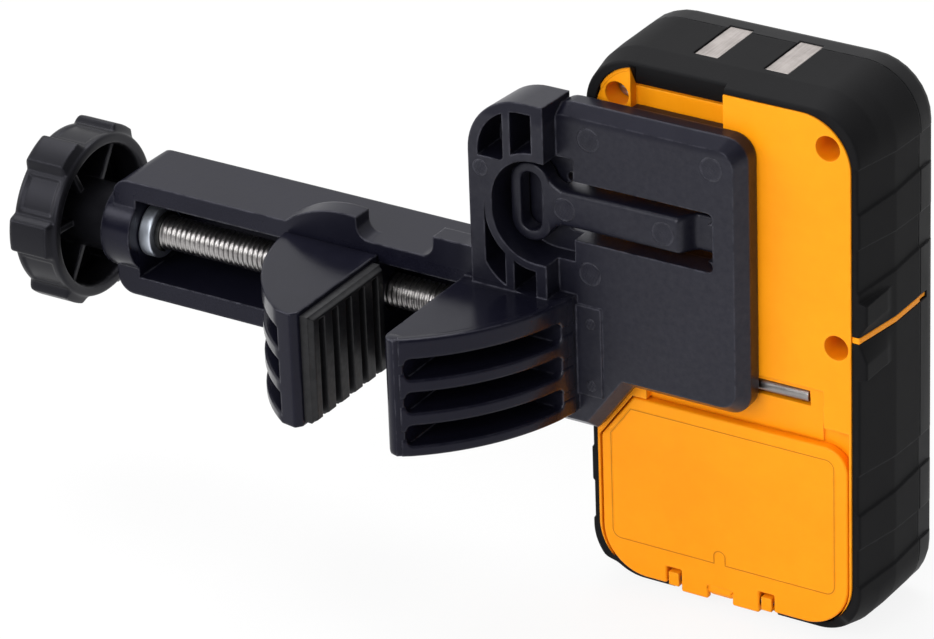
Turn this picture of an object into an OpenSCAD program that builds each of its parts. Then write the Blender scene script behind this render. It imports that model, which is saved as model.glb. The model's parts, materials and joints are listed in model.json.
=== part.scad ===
// Hand-held laser receiver with its rod clamp, in millimetres.
// The receiver stands upright: +Z is up, -Y is its back and +X is to the right seen from the back.
// The origin is the middle of the bottom face.

/* [Receiver body] */
// Width over the rubber sides
body_w = 68; // [60:1:80]
// Height over the rubber ends
body_h = 124; // [112:1:140]
// Depth from the back face to the front face
body_d = 30; // [28:0.5:36]
// Corner radius of the body seen from the back
corner_r = 12.8; // [12:0.1:14.5]
// Case wall thickness
wall = 2.2; // [1.6:0.1:2.6]
// Gap between the case's side and the outside of the rubber
side_cover = 3.55; // [3:0.05:4.5]
// Gap between the case's ends and the outside of the rubber
end_cover = 3; // [2.6:0.1:4]
// Width of the rubber rim round the back face
rim_w = 1.8; // [1.2:0.1:2.4]
// Width of the front bezel band along the sides
bezel_band = 6.5; // [5.5:0.1:8]
// Rounding of the bezel's front edge
bezel_round = 2.8; // [2:0.1:5]
// Depth of the finger grips in the sides
grip_in = 0.45; // [0.2:0.05:0.8]
// Open seam between the bezel and the rubber
seam_gap = 0.3; // [0.2:0.05:0.6]
// Clearance between pieces that sit in each other
fit_gap = 0.1; // [0.05:0.05:0.2]
// Thickness of the gasket between the case halves
gasket_t = 0.6; // [0.4:0.1:1]

/* [Level marks] */
// Height of the marks, level with the middle of the sensor
mark_z = 72.3; // [66:0.1:80]
// Thickness of a mark
mark_t = 1.4; // [1:0.1:2.4]
// How far a mark runs onto the bezel
mark_onto_bezel = 2.5; // [1:0.1:4]

/* [Magnets] */
// Width of a magnet strip
magnet_w = 5.4; // [4:0.1:8]
// Length of a magnet strip, front to back
magnet_l = 15.1; // [10:0.1:18]
// Thickness of a magnet strip
magnet_t = 2; // [1:0.1:2.4]
// Distance between the strips' middles
magnet_pitch = 16.4; // [12:0.1:24]
// Distance from the back face to the strips' middle
magnet_from_back = 17.1; // [14:0.1:18]
// How far the strips lie below the top
magnet_sunk = 0.2; // [0:0.05:0.5]

/* [Back face] */
// Where the raised right part of the back begins
step_x = 1.15; // [0:0.05:4]
// Depth of the left part below the back face
lug_depth = 2.5; // [1.5:0.1:3]
// Depth of the bracket channel below the back face
channel_depth = 4.8; // [4:0.1:5.5]
// Width of the bracket channel
channel_w = 23.2; // [20:0.1:26]
// Distance from the top of the case to the channel's top
channel_drop = 4.8; // [4:0.1:8]
// Distance from the cross pin up to the channel's foot
channel_above_pin = 6.5; // [4:0.5:10]
// Diameter of the steel cross pin
pin_d = 3; // [2:0.1:4]
// Length of the steel cross pin
pin_l = 40; // [36:0.5:42]
// How far the open pocket runs on past the pin's right end
pocket_past = 0.4; // [0.2:0.1:3]
// Sideways place where the pin comes out of the case
pocket_x = 6; // [2:0.5:8]
// Height of the cross pin
pin_z = 56; // [55:0.1:58]
// Depth of the cross pin's axis below the back face
pin_in = 2.4; // [2:0.1:3]

/* [Case screws] */
// Diameter of the screw recesses
recess_d = 5.6; // [5:0.1:6]
// Distance from the case's side to the upper screws
upper_screw_in = 5.15; // [4.5:0.05:7]
// Distance from the top of the case to the upper screws
upper_screw_drop = 6.6; // [6:0.1:9]
// Distance from the case's side to the middle screws
middle_screw_in = 3.4; // [3.2:0.05:6]
// Height of the middle screws
middle_screw_z = 69.7; // [66:0.1:76]
// Screw thread diameter
case_screw_d = 2.9; // [2.5:0.1:3]
// Screw head diameter
case_screw_head_d = 5; // [4.6:0.1:5.2]
// Screw head thickness
case_screw_head_t = 1.8; // [1.4:0.1:2.4]
// Depth of the recess floors below the back face
recess_floor = 9; // [8:0.1:10]

/* [Battery] */
// Distance from the case's side to the end of the battery bay
bay_side = 3.6; // [3.4:0.1:4]
// Width of the battery
battery_w = 26.5; // [25.5:0.1:26.8]
// Thickness of the battery
battery_t = 17.5; // [16.5:0.1:17.8]
// Play round the battery
battery_gap = 0.3; // [0.2:0.05:0.5]
// Thickness of the contact block
snap_t = 4.6; // [3.5:0.1:5]
// Height of the compartment floor
compartment_z = 8.6; // [8.2:0.1:10]
// Compartment wall thickness
compartment_wall = 1.6; // [1.2:0.1:2]

/* [Battery door] */
// Height of the door's top edge
door_top = 46; // [44:0.1:48]
// Door thickness
door_t = 2.4; // [2:0.1:2.8]
// Gap round the door
door_gap = 0.4; // [0.3:0.05:0.6]
// Width of the case left beside the door
door_border = 0.9; // [0.8:0.05:1.6]
// Radius of the door's upper right corner
door_corner_r = 5.5; // [4:0.5:8]
// Radius of the door's lower corners
door_foot_r = 10.5; // [8:0.5:12]
// Height of the hinge axis above the door's foot
hinge_up = 1.4; // [1.2:0.1:2]
// Depth of the hinge axis below the back face
hinge_in = 1.6; // [1.4:0.1:1.8]
// Hinge pin diameter
hinge_pin_d = 1.4; // [1.2:0.1:1.6]
// Sideways place of the hinge blocks
hinge_x = -1.2; // [-3:0.1:3]
// Width of a hinge block on the door
block_w = 6.7; // [5:0.1:7]
// Distance between the hinge blocks' middles
block_pitch = 12.4; // [10:0.1:12.6]
// How far the hinge blocks hang below the door's foot
block_drop = 1.1; // [0.6:0.1:1.4]
// Width of a hinge lug on the case
lug_w = 2.4; // [2:0.1:3]
// Gap between the outer blocks and the lugs
lug_gap = 0.5; // [0.3:0.1:2]
// Height of the sloped finger recess above the door
finger_h = 12.9; // [12:0.1:13]
// Depth of the finger recess
finger_depth = 2; // [1:0.1:2.2]

/* [Front face] */
// Sensor window width
sensor_w = 11; // [8:0.5:12]
// Sensor window height
sensor_h = 52; // [40:1:56]
// Distance from the case's left side to the sensor window's middle
sensor_in = 13.45; // [12.5:0.05:14.5]
// Strip for the indicator lenses between the two windows
led_strip_w = 6; // [5:0.5:7]
// Display window height
lcd_h = 40; // [30:0.5:44]
// Distance from the case's right side to the display window
lcd_side = 7.95; // [7.5:0.05:10]
// Height of the display window's middle
lcd_z = 83; // [80:0.5:88]
// Window thickness
window_t = 1.6; // [1.2:0.1:2]
// Diameter of an indicator lens
led_d = 3; // [2:0.1:3.4]
// Distance between the indicator lenses
led_pitch = 20; // [10:1:24]
// Space between the buttons
button_space = 5; // [3:0.5:6]
// Button height
button_h = 9; // [7:0.5:11]
// Distance from the case's side to the outer buttons' middles
button_in = 12.45; // [12:0.05:14]
// Height of the buttons' middles
button_z = 36; // [33:0.5:38]
// How far a button stands out of the front face
button_proud = 1.2; // [0.8:0.1:2]
// How far a button presses in
button_travel = 1; // [0.6:0.1:1]
// Clearance round a button
button_gap = 0.25; // [0.2:0.05:0.4]
// Circuit board thickness
board_t = 1.6; // [1:0.1:1.6]
// Diameter of the buzzer
buzzer_d = 18; // [14:0.5:18]
// Thickness of the buzzer
buzzer_t = 4; // [2.5:0.1:4]

/* [Clamp bracket] */
// Gap between the bracket plate and the back of the receiver
plate_gap = 0.3; // [0.2:0.05:0.8]
// Plate thickness
plate_t = 6; // [5:0.1:7]
// Right edge of the plate
plate_right = 9; // [8:0.1:14]
// Height of the plate's top edge
plate_top = 113.8; // [110:0.1:114]
// Height of the plate's lower edge
plate_foot = 50.8; // [50:0.1:54]
// Plate edge chamfer
plate_chamfer = 2.2; // [1:0.1:2.6]
// Plate corner radius
plate_corner_r = 5; // [3:0.5:7]
// Height of the plate's lower left tip
tip_z = 39; // [38.5:0.1:42]
// Sideways place of the lower left tip
tip_x = -28; // [-29:0.1:-27]
// Where the sloping lower edge meets the level one
slope_x = -19.3; // [-20:0.1:-18]
// Gap between the receiver's side and the frame block
frame_gap = 1; // [1:0.1:4]
// Width of the frame block
frame_w = 18.3; // [17:0.1:22]
// How far the frame block stands in front of the plate
frame_proud = 5; // [4:0.1:7]
// Height of the frame block's top
frame_top = 114.7; // [114:0.1:118]
// Corner radius of the frame block
frame_r = 13; // [8:0.5:14]
// Height of the finger well
well_h = 23.4; // [22:0.1:24]
// Corner radius of the finger well
well_r = 10.5; // [8:0.5:11]
// Left wall of the finger well
well_wall = 5.4; // [4:0.1:7]
// Depth of the finger well below the frame's face
well_depth = 9; // [8.5:0.1:10]
// Height of the middle of the latch tongue
tongue_z = 90.2; // [88:0.1:92]
// Height of the latch tongue
tongue_h = 8.3; // [7:0.1:9]
// Width of the slots beside the tongue
tongue_slot = 2.6; // [1.8:0.1:3]
// Root of the tongue
tongue_root = 1.9; // [0:0.1:4]
// Tongue thickness
tongue_t = 4.2; // [3:0.1:4.2]
// Width of the ring at the tongue's end
ring_w = 9.6; // [9:0.1:11]
// Height of the ring
ring_h = 18; // [16:0.1:18.4]
// Bar width of the ring
ring_bar = 2.4; // [2:0.1:2.6]
// Gap between the ring and the left wall of the well
ring_gap = 1.9; // [1.5:0.1:3]
// How far the tongue can be lifted, in degrees
latch_lift = 5; // [3:0.5:6]

/* [Clamp rail] */
// Distance from the frame block to the rail's far end
rail_l = 93; // [90:0.1:110]
// Rail height
rail_h = 27.4; // [26:0.1:30]
// Rail depth
rail_d = 17.4; // [16.5:0.1:18]
// Height of the rail's lower face
rail_z = 45.6; // [45:0.1:47]
// Distance from the frame's face back to the rail's face
rail_back = 1.6; // [1:0.1:3]
// Thickness of the rail's upper and lower flanges
flange_t = 4.4; // [3:0.1:4.6]
// Thickness of the rail's back wall
web_t = 2.2; // [1.8:0.1:2.4]
// Thickness of the rail's end wall
end_wall_t = 5.7; // [4:0.1:6.5]
// Radius of the round boss on the end wall
end_boss_r = 9.6; // [9:0.1:12]
// How far the boss stands out of the rail's end
end_boss_out = 1.7; // [1:0.1:3]
// Corner radius of the rail's far end
rail_end_r = 4; // [3:0.5:6]
// Height of the raised lip on the rail's front edge
lip_h = 5; // [3:0.1:6]
// Depth of the lip
lip_d = 5; // [3:0.1:6]
// Length of the arched stop on the lip
arch_l = 18.5; // [14:0.5:22]
// Distance from the frame to the arched stop
arch_from_frame = 29.7; // [24:0.1:34]
// Length of the raised block beside the frame
lip_block_l = 10.6; // [6:0.1:14]

/* [Jaws] */
// Jaw height
jaw_h = 26.9; // [26:0.1:29]
// Height of the jaws' top
jaw_top = 70.8; // [70:0.1:73]
// How far the jaws reach out from the frame's face
jaw_reach = 31; // [24:0.5:40]
// Width of the fixed jaw at its root
fixed_jaw_w = 25.5; // [24:0.1:28]
// Width of the moving jaw at its root
moving_jaw_w = 23.5; // [20:0.1:26]
// Width of the jaw tips
tip_w = 4.8; // [3.5:0.1:6]
// Thickness of the moving jaw's gripping wall
grip_wall = 2.6; // [2:0.1:4]
// Thickness of the fixed jaw's gripping wall
fixed_wall = 4.2; // [3:0.1:5]
// How far the fixed jaw's face stands out of the frame block
grip_out = 2.9; // [0.7:0.1:2.9]
// Thickness of a jaw's top plate
top_plate_t = 4.3; // [3:0.1:5]
// Thickness of a jaw's fins
fin_t = 2.6; // [2:0.1:3]
// Thickness of a jaw's bottom plate
bottom_plate_t = 2.1; // [2:0.1:4]
// Bow of the fixed jaw's outer edge
fixed_bow = 4.6; // [1:0.1:5]
// Bow of the moving jaw's outer edge
moving_bow = 4.2; // [1:0.1:4.5]
// Thickness of the moving jaw's rubber pad
pad_t = 3; // [2:0.1:4]
// Thickness of the fixed jaw's rubber pad
fixed_pad_t = 1.6; // [1.4:0.1:2]
// How deep the fixed jaw's pad is let into its wall
fixed_pad_in = 1; // [0.6:0.1:1.1]
// Number of ribs on a pad
pad_ribs = 5; // [3:1:7]
// Space between the pads as drawn
jaw_open = 17.8; // [12:0.1:24]
// Clearance of the jaw in the rail
slide_gap = 0.35; // [0.2:0.05:0.5]

/* [Screw and knob] */
// Screw thread diameter
screw_d = 8; // [6:0.1:9]
// Thread pitch
screw_pitch = 1.25; // [1:0.05:1.5]
// Thread depth
thread_depth = 0.7; // [0.5:0.05:0.8]
// Depth of the screw's axis below the rail's face
axis_in = 6.2; // [6:0.1:7]
// How far the axis lies above the middle of the rail
axis_up = 0.15; // [0:0.05:0.4]
// Running clearance of the screw in its bores
run_gap = 0.06; // [0.03:0.01:0.1]
// Diameter of the zinc collar
collar_d = 12.2; // [11:0.1:12.6]
// Thickness of the collar
collar_t = 3; // [2:0.1:5]
// Thickness of the retaining clip
clip_t = 1.2; // [0.6:0.1:1.6]
// Knob diameter over the lobes
knob_d = 40.5; // [38.5:0.5:46]
// Diameter of the valleys between the lobes
knob_valley_d = 37; // [34:0.5:37.5]
// Knob depth
knob_t = 11.5; // [9.5:0.5:16]
// Number of lobes
knob_lobes = 6; // [4:1:8]
// Width of a lobe
lobe_w = 8; // [6:0.5:12]
// Wall of the hollow knob
knob_wall = 2.8; // [2.4:0.1:4]
// Thickness of the knob's closed end
knob_web = 2.6; // [2:0.1:4]
// Hub diameter
hub_d = 15; // [14:0.1:18]
// Distance from the rail's end to the knob's rim
knob_gap = 7.4; // [6:0.1:14]
// Diameter across the insert's corners
insert_d = 12; // [11:0.1:13]

/* [Hidden] */
$fn = 96;
shape_fn = 32;
eps = 0.01;
// Case
back_y = -body_d/2;
front_y = body_d/2;
seam_y = front_y - bezel_band - seam_gap;
case_w = body_w - 2*side_cover;
case_z0 = end_cover;
case_z1 = body_h - end_cover;
case_r = corner_r - 1.35;
inside_r = max(case_r - wall, 1);
rim_in = side_cover - rim_w;
// Feet and tops of the finger grips in the sides
grip_bands = [[15.2, 22.6], [32.4, 40], [mark_z + 11.6, mark_z + 19.8], [mark_z + 29.4, mark_z + 37.7]];
front_wall_y = front_y - wall;
upper_screws = [[-case_w/2 + upper_screw_in, case_z1 - upper_screw_drop],
                [case_w/2 - upper_screw_in, case_z1 - upper_screw_drop]];
middle_screws = [[-case_w/2 + middle_screw_in, middle_screw_z], [case_w/2 - middle_screw_in, middle_screw_z]];
screw_places = concat(upper_screws, middle_screws);
boss_r = recess_d/2 + 1.3;
post_r = case_screw_d/2 + 1.6;
seat_y = back_y + recess_floor;
channel_top = case_z1 - channel_drop;
channel_bottom = pin_z + pin_d/2 + channel_above_pin;
left_floor_y = back_y + lug_depth;
left_foot = pin_z - 3;
channel_floor_y = back_y + channel_depth;
pin_y = back_y + pin_in;
pocket_h = 2*pin_d;
pocket_depth = pin_in + pin_d/2 + 0.2;
// Battery compartment
bay_l = case_w - 2*bay_side;
battery_l = bay_l - snap_t - 2*battery_gap;
bay_h = battery_w + 2*battery_gap;
bay_y0 = back_y + door_t + battery_gap;
bay_y1 = bay_y0 + battery_t + 2*battery_gap;
bay_z1 = compartment_z + bay_h;
bay_outer_y = bay_y1 + compartment_wall;
bay_mid_z = compartment_z + bay_h/2;
stud_half = 6.35;
stud_l = 2.5;
big_stud_r = 4;
small_stud_r = 2.9;
terminal_r = 3.5;
// Door
door_w = case_w - 2*door_border;
door_z0 = case_z0 + 0.2;
hinge_y = back_y + hinge_in;
hinge_z = door_z0 + hinge_up;
block_xs = [hinge_x - block_pitch/2, hinge_x + block_pitch/2];
lug_reach = block_pitch/2 + block_w/2 + lug_gap;
lug_xs = [hinge_x - lug_reach - lug_w/2, hinge_x + lug_reach + lug_w/2];
notch_w = lug_w + 2*lug_gap + 0.2;
sweep_r = norm([hinge_in, hinge_up]) + door_gap;
block_sweep_r = norm([hinge_in, hinge_up + block_drop]) + door_gap;
tip_slope = (plate_foot - tip_z)/(slope_x - tip_x);
// Front face
board_y = bay_outer_y + 0.4;
board_front = board_y + board_t;
board_z0 = bay_z1 - 8;
keypad_t = 0.6;
button_pitch = case_w/2 - button_in;
sensor_x = -case_w/2 + sensor_in;
lcd_x0 = sensor_x + sensor_w/2 + led_strip_w;
lcd_x1 = case_w/2 - lcd_side;
lcd_w = lcd_x1 - lcd_x0;
lcd_x = (lcd_x0 + lcd_x1)/2;
button_w = button_pitch - button_space;
button_flange = 0.9;
// Clamp bracket
plate_back = back_y - plate_gap;
plate_front = plate_back - plate_t;
frame_front = plate_front - frame_proud;
frame_right = -body_w/2 - frame_gap;
frame_left = frame_right - frame_w;
well_left = frame_left + well_wall;
well_floor = frame_front + well_depth;
ring_left = well_left + ring_gap;
tongue_front = plate_front - 0.6;
tongue_back = tongue_front + tongue_t;
// Rail and screw
rail_left = frame_left - rail_l;
rail_front = frame_front + rail_back;
rail_rear = rail_front + rail_d;
rail_top = rail_z + rail_h;
axis_z = rail_z + rail_h/2 + axis_up;
channel_h = rail_h - 2*flange_t;
axis_y = rail_front + axis_in;
grip_x = frame_left - grip_out;
pad_face = grip_x + fixed_pad_in - fixed_pad_t;
jaw_bottom = jaw_top - jaw_h;
jaw_tip_y = frame_front - jaw_reach;
moving_grip_x = pad_face - jaw_open - pad_t;
slider_left = moving_grip_x - moving_jaw_w;
stop_wall_t = 3;
screw_r = screw_d/2;
collar_x = rail_left + end_wall_t + 0.15;
thread_x0 = collar_x + collar_t + clip_t + 0.3;
thread_x1 = frame_left - stop_wall_t - 1;
knob_rim_x = rail_left - knob_gap;
knob_far_x = knob_rim_x - knob_t;
hub_near_x = rail_left - end_boss_out - 0.3;
lobe_turn = 26;
screw_x0 = knob_far_x + knob_web + 2;
insert_t = 7;
nut_t = 6.5;
nut_w = 13;
nut_d = 11.4;

// Shared shapes

// Rectangle with rounded corners from (x0, z0) to (x1, z1)
module rounded(x0, z0, x1, z1, r) {
    rr = min(r, (x1 - x0)/2 - eps, (z1 - z0)/2 - eps);
    translate([x0 + rr, z0]) square([x1 - x0 - 2*rr, z1 - z0]);
    translate([x0, z0 + rr]) square([x1 - x0, z1 - z0 - 2*rr]);
    for (x = [x0 + rr, x1 - rr], z = [z0 + rr, z1 - rr])
        translate([x, z]) circle(rr);
}

// An outline drawn in X and Z, carried along Y from y0 to y1
module along_y(y0, y1) {
    translate([0, y1, 0]) rotate([90, 0, 0]) linear_extrude(y1 - y0) children();
}

// A round bar along Y
module bar_y(x, z, r, y0, y1) {
    translate([x, y1, z]) rotate([90, 0, 0]) cylinder(h = y1 - y0, r = r);
}

// A round bar along X
module bar_x(y, z, r, x0, x1) {
    translate([x0, y, z]) rotate([0, 90, 0]) cylinder(h = x1 - x0, r = r);
}

module box(x0, y0, z0, x1, y1, z1) {
    translate([x0, y0, z0]) cube([x1 - x0, y1 - y0, z1 - z0]);
}

// The case's outline, grown outwards by g
module case_outline(g = 0) {
    rounded(-case_w/2 - g, case_z0 - g, case_w/2 + g, case_z1 + g, case_r + g);
}

// The outline of the space inside the case walls, drawn in by g
module inside_outline(g = 0) {
    rounded(-case_w/2 + wall + g, case_z0 + wall + g, case_w/2 - wall - g, case_z1 - wall - g, inside_r);
}

// The body's outline, drawn in by g
module body_outline(g = 0) {
    rounded(-body_w/2 + g, g, body_w/2 - g, body_h - g, corner_r - g);
}

// Points of an arc from a to b that bows out by s to the right of the way
function bowed(a, b, s, n = 16) =
    let (m = (a + b)/2, d = (b - a)/2, c = norm(d), r = (c*c + s*s)/(2*s), u = [d[1], -d[0]]/c,
         o = m - u*(r - s), h = asin(c/r))
    [for (i = [0:n]) let (t = -h + 2*h*i/n) o + u*r*cos(t) + d/c*r*sin(t)];

// Receiver

module door_outline(g = 0) {
    x1 = door_w/2 + g;
    z0 = door_z0 - g;
    z1 = door_top + g;
    foot_x = tip_x + (z0 - tip_z)/tip_slope;
    difference() {
        union() {
            rounded(-x1, z0, x1, z0 + 3*door_foot_r, door_foot_r + g);
            rounded(-x1, z0 + 2*door_foot_r, x1, z1, door_corner_r + g);
            translate([-x1, z0 + door_foot_r]) square([2*x1, 2*door_foot_r]);
        }
        // The upper left corner is cut parallel to the bracket's sloping edge, to swing clear of it
        polygon([[foot_x + 1.2 - g, z0], [foot_x + 1.2 - g + (z1 + 1 - z0)/tip_slope, z1 + 1],
                 [-2*x1, z1 + 1], [-2*x1, z0]]);
    }
}

module rear_case() {
    color("orange") difference() {
        union() {
            difference() {
                along_y(back_y, -gasket_t/2) case_outline();
                rear_hollow();
            }
            intersection() {
                for (p = screw_places) bar_y(p[0], p[1], boss_r, back_y + wall, -gasket_t/2);
                along_y(back_y, 0) case_outline();
            }
            bay_walls();
        }
        // Lower left half of the back, and the bracket's channel
        box(-case_w, back_y - 1, left_foot, step_x, left_floor_y, body_h);
        box(step_x - channel_w, back_y - 1, channel_bottom, step_x, channel_floor_y, channel_top);
        box(step_x - channel_w, back_y - 1, channel_top - eps, step_x, channel_floor_y + 0.9, body_h);
        for (p = screw_places) {
            bar_y(p[0], p[1], recess_d/2, back_y - 1, seat_y);
            bar_y(p[0], p[1], case_screw_d/2 + fit_gap, back_y, 0);
        }
        pin_pocket();
        finger_recess();
        along_y(back_y - 1, back_y + door_t + fit_gap) door_outline(door_gap);
        box(-bay_l/2, back_y, compartment_z, bay_l/2, bay_y1, bay_z1);
        hinge_room();
    }
    color("orange") difference() {
        for (x = lug_xs)
            box(x - lug_w/2, back_y, case_z0 + 0.1, x + lug_w/2, back_y + 6, hinge_z + 1.6);
        bar_x(hinge_y, hinge_z, hinge_pin_d/2 + 0.02, -case_w/2, case_w/2);
    }
}

// Free space inside the rear case, kept behind the recessed half and above the battery bay
module rear_hollow() {
    intersection() {
        along_y(back_y + wall, 1) inside_outline();
        union() {
            box(step_x + wall, back_y + wall, left_foot + wall + pocket_h, body_w, 1, body_h);
            box(-body_w, channel_floor_y + wall, 0, body_w, 1, body_h);
        }
    }
}

// Walls of the battery compartment
module bay_walls() {
    w = compartment_wall;
    intersection() {
        box(-bay_l/2 - w, back_y + wall, compartment_z - w, bay_l/2 + w, bay_outer_y, bay_z1 + w);
        along_y(back_y, front_y) inside_outline(fit_gap);
    }
    // Web that carries the back wall down to the compartment
    box(-bay_l/2 - w, back_y + wall, bay_z1, bay_l/2 + w, bay_y0 + 4, left_foot);
}

// Bore of the steel cross pin, and the open pocket round its right end
module pin_pocket() {
    box(pocket_x, back_y - 1, pin_z - pin_d/2 - 0.4, pin_l/2 + pocket_past, back_y + pocket_depth,
        pin_z + pocket_h/2 - 1.2);
    bar_x(pin_y, pin_z, pin_d/2 + 0.02, -pin_l/2, pin_l/2);
}

// Sloped recess above the door for a finger, with a deeper step over the door's upper right corner
module finger_recess() {
    x1 = door_w/2 - door_corner_r;
    translate([slope_x + 1, 0, 0]) rotate([90, 0, 90]) linear_extrude(x1 - slope_x - 1)
        polygon([[back_y - 1, door_top - 1], [back_y + finger_depth, door_top - 1],
                 [back_y + finger_depth, door_top], [back_y + 0.8, door_top + finger_h],
                 [back_y - 1, door_top + finger_h]]);
    box(x1 - 1, back_y - 1, door_top - door_corner_r, door_w/2 + door_gap, back_y + door_t, door_top + 4.4);
}

// Room for the door's foot to turn in
module hinge_room() {
    half = door_w/2 - door_foot_r/4;
    bar_x(hinge_y, hinge_z, sweep_r, -half, half);
    bar_x(hinge_y, hinge_z, block_sweep_r, lug_xs[0] - lug_w/2 - fit_gap, lug_xs[1] + lug_w/2 + fit_gap);
}

module level_mark_cut(g) {
    y1 = seam_y + seam_gap + mark_onto_bezel + g;
    half = mark_t/2 + g;
    box(case_w/2 + g, back_y - 1, mark_z - half, body_w/2 + 1, y1, mark_z + half);
    box(-body_w/2 - 1, back_y - 1, mark_z - half, -case_w/2 - g, y1, mark_z + half);
}

module level_marks() {
    color("orange") intersection() {
        rubber_shape();
        difference() {
            level_mark_cut(0);
            along_y(back_y - 2, front_y) case_outline(fit_gap);
        }
    }
}

module bezel_shape() {
    y0 = seam_y + seam_gap;
    hull() {
        along_y(y0, front_y - bezel_round) body_outline($fn = shape_fn);
        for (a = [30, 60, 90])
            along_y(front_y - bezel_round - eps, front_y - bezel_round*(1 - sin(a)))
                body_outline(bezel_round*(1 - cos(a)), $fn = shape_fn);
    }
}

module front_case() {
    color("dimgray") difference() {
        union() {
            difference() {
                union() {
                    along_y(gasket_t/2, seam_y + seam_gap + eps) case_outline();
                    bezel_shape();
                }
                along_y(-1, front_wall_y) inside_outline();
            }
            for (p = screw_places) bar_y(p[0], p[1], post_r, gasket_t/2, front_wall_y + eps);
        }
        for (p = screw_places) bar_y(p[0], p[1], case_screw_d/2 + 0.05, -1, front_wall_y - 1);
        along_y(front_wall_y - 1, front_y + 1) sensor_outline(fit_gap);
        along_y(front_wall_y - 1, front_y + 1) lcd_outline(fit_gap);
        for (i = [-1, 0, 1]) {
            bar_y(led_x(), mark_z + i*led_pitch, led_d/2 + fit_gap, front_wall_y - 1, front_y + 1);
            along_y(front_wall_y - 1, front_y + 1) button_outline(i, button_gap);
            along_y(front_wall_y - 1, front_y + 1) translate([i*3.6, 0])
                rounded(-0.6, buzzer_z() - 5, 0.6, buzzer_z() + 5, 0.55);
        }
        level_mark_cut(fit_gap);
        grip_cuts();
        magnet_blocks(fit_gap, 1);
        // Clearance for the battery bay and its hinge end
        box(-bay_l/2 - compartment_wall - fit_gap, -1, compartment_z - compartment_wall - fit_gap,
            bay_l/2 + compartment_wall + fit_gap, bay_outer_y + fit_gap, bay_z1 + compartment_wall + fit_gap);
    }
}

function led_x() = (sensor_x + sensor_w/2 + lcd_x - lcd_w/2)/2;
function buzzer_z() = case_z0 + wall + buzzer_d/2 + 1;

// Rounded outline with its middle at (x, z), a wide and b high each way
module window_outline(x, z, a, b, r) {
    rounded(x - a, z - b, x + a, z + b, r);
}

module sensor_outline(g = 0) {
    window_outline(sensor_x, mark_z, sensor_w/2 + g, sensor_h/2 + g, 2);
}

module lcd_outline(g = 0) {
    window_outline(lcd_x, lcd_z, lcd_w/2 + g, lcd_h/2 + g, 2);
}

module button_outline(i, g = 0) {
    window_outline(i*button_pitch, button_z, button_w/2 + g, button_h/2 + g, 3);
}

// Outside of the rubber: narrower at the back face, full width from the middle on
module rubber_shape() {
    hull() {
        along_y(back_y + 0.3, back_y + 0.4) body_outline(rim_in, $fn = shape_fn);
        along_y(back_y + 13, seam_y) body_outline($fn = shape_fn);
    }
}

module overmould_sleeve() {
    difference() {
        rubber_shape();
        along_y(back_y - 1, front_y) case_outline(fit_gap);
        hinge_room();
        // Gap between the hinge lugs
        box(lug_xs[0] - lug_w/2, back_y - 1, -1, lug_xs[1] + lug_w/2, back_y + 6.5, case_z0 + 1);
        magnet_blocks(fit_gap, 1);
        grip_cuts();
    }
}

// Shallow finger grips in both sides
module grip_cuts() {
    x0 = body_w/2 - grip_in;
    for (b = grip_bands) {
        box(x0, back_y - 1, b[0], x0 + 2, front_y + 1, b[1]);
        box(-x0 - 2, back_y - 1, b[0], -x0, front_y + 1, b[1]);
    }
}

// The two magnet strips, grown by g and carried up by rise
module magnet_blocks(g = 0, rise = 0) {
    y = back_y + magnet_from_back;
    z1 = body_h - magnet_sunk;
    for (x = [-magnet_pitch/2, magnet_pitch/2])
        box(x - magnet_w/2 - g, y - magnet_l/2 - g, z1 - magnet_t - g,
            x + magnet_w/2 + g, y + magnet_l/2 + g, z1 + rise);
}

// The upper cover has a low bridge across the open top of the bracket's channel
module upper_overmould() {
    x0 = step_x - channel_w;
    y0 = channel_floor_y - 0.2;
    color("#222224") {
        difference() {
            intersection() {
                overmould_sleeve();
                box(-body_w, -body_d, mark_z + mark_t/2 + fit_gap, body_w, body_d, body_h + 1);
            }
            box(x0, back_y - 1, channel_top, step_x, y0, body_h + 1);
        }
        box(x0 + fit_gap, y0, channel_top + fit_gap, step_x - fit_gap, y0 + 1, case_z1 + 0.5);
    }
}

module lower_overmould() {
    color("#222224") intersection() {
        overmould_sleeve();
        box(-body_w, -body_d, -1, body_w, body_d, mark_z - mark_t/2 - fit_gap);
    }
}

module case_gasket() {
    color("black") difference() {
        along_y(-gasket_t/2, gasket_t/2) case_outline(-0.1);
        along_y(-1, 1) case_outline(-1.7);
    }
}

module magnet_strips() {
    color("silver") magnet_blocks();
}

module case_screws() {
    color("silver") for (p = screw_places) difference() {
        union() {
            bar_y(p[0], p[1], case_screw_head_d/2, seat_y - case_screw_head_t, seat_y);
            bar_y(p[0], p[1], case_screw_d/2, seat_y - eps, front_wall_y - 2);
        }
        for (a = [0, 90]) translate([p[0], seat_y - case_screw_head_t, p[1]]) rotate([0, a, 0])
            box(-0.4, -1, -1.5, 0.4, 1, 1.5);
    }
}

module rail_pin() {
    color("silver") bar_x(pin_y, pin_z, pin_d/2, -pin_l/2 + fit_gap, pin_l/2 - fit_gap);
}

module battery_door() {
    color("orange") difference() {
        union() {
            along_y(back_y, back_y + door_t) door_outline();
            for (x = block_xs) {
                box(x - block_w/2, back_y, door_z0 - block_drop, x + block_w/2, hinge_y, hinge_z);
                bar_x(hinge_y, hinge_z, hinge_in - 0.15, x - block_w/2, x + block_w/2);
            }
        }
        bar_x(hinge_y, hinge_z, hinge_pin_d/2 + 0.05, lug_xs[0], lug_xs[1]);
        // Notches in the door's foot round the lugs
        for (x = lug_xs)
            box(x - notch_w/2, back_y - 1, 0, x + notch_w/2, back_y + 8, hinge_z + 2.6);
        box(block_xs[0] + block_w/2 - 0.1, back_y - 1, 0, block_xs[1] - block_w/2 + 0.1, back_y + 8, door_z0 + 2.1);
    }
}

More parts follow.
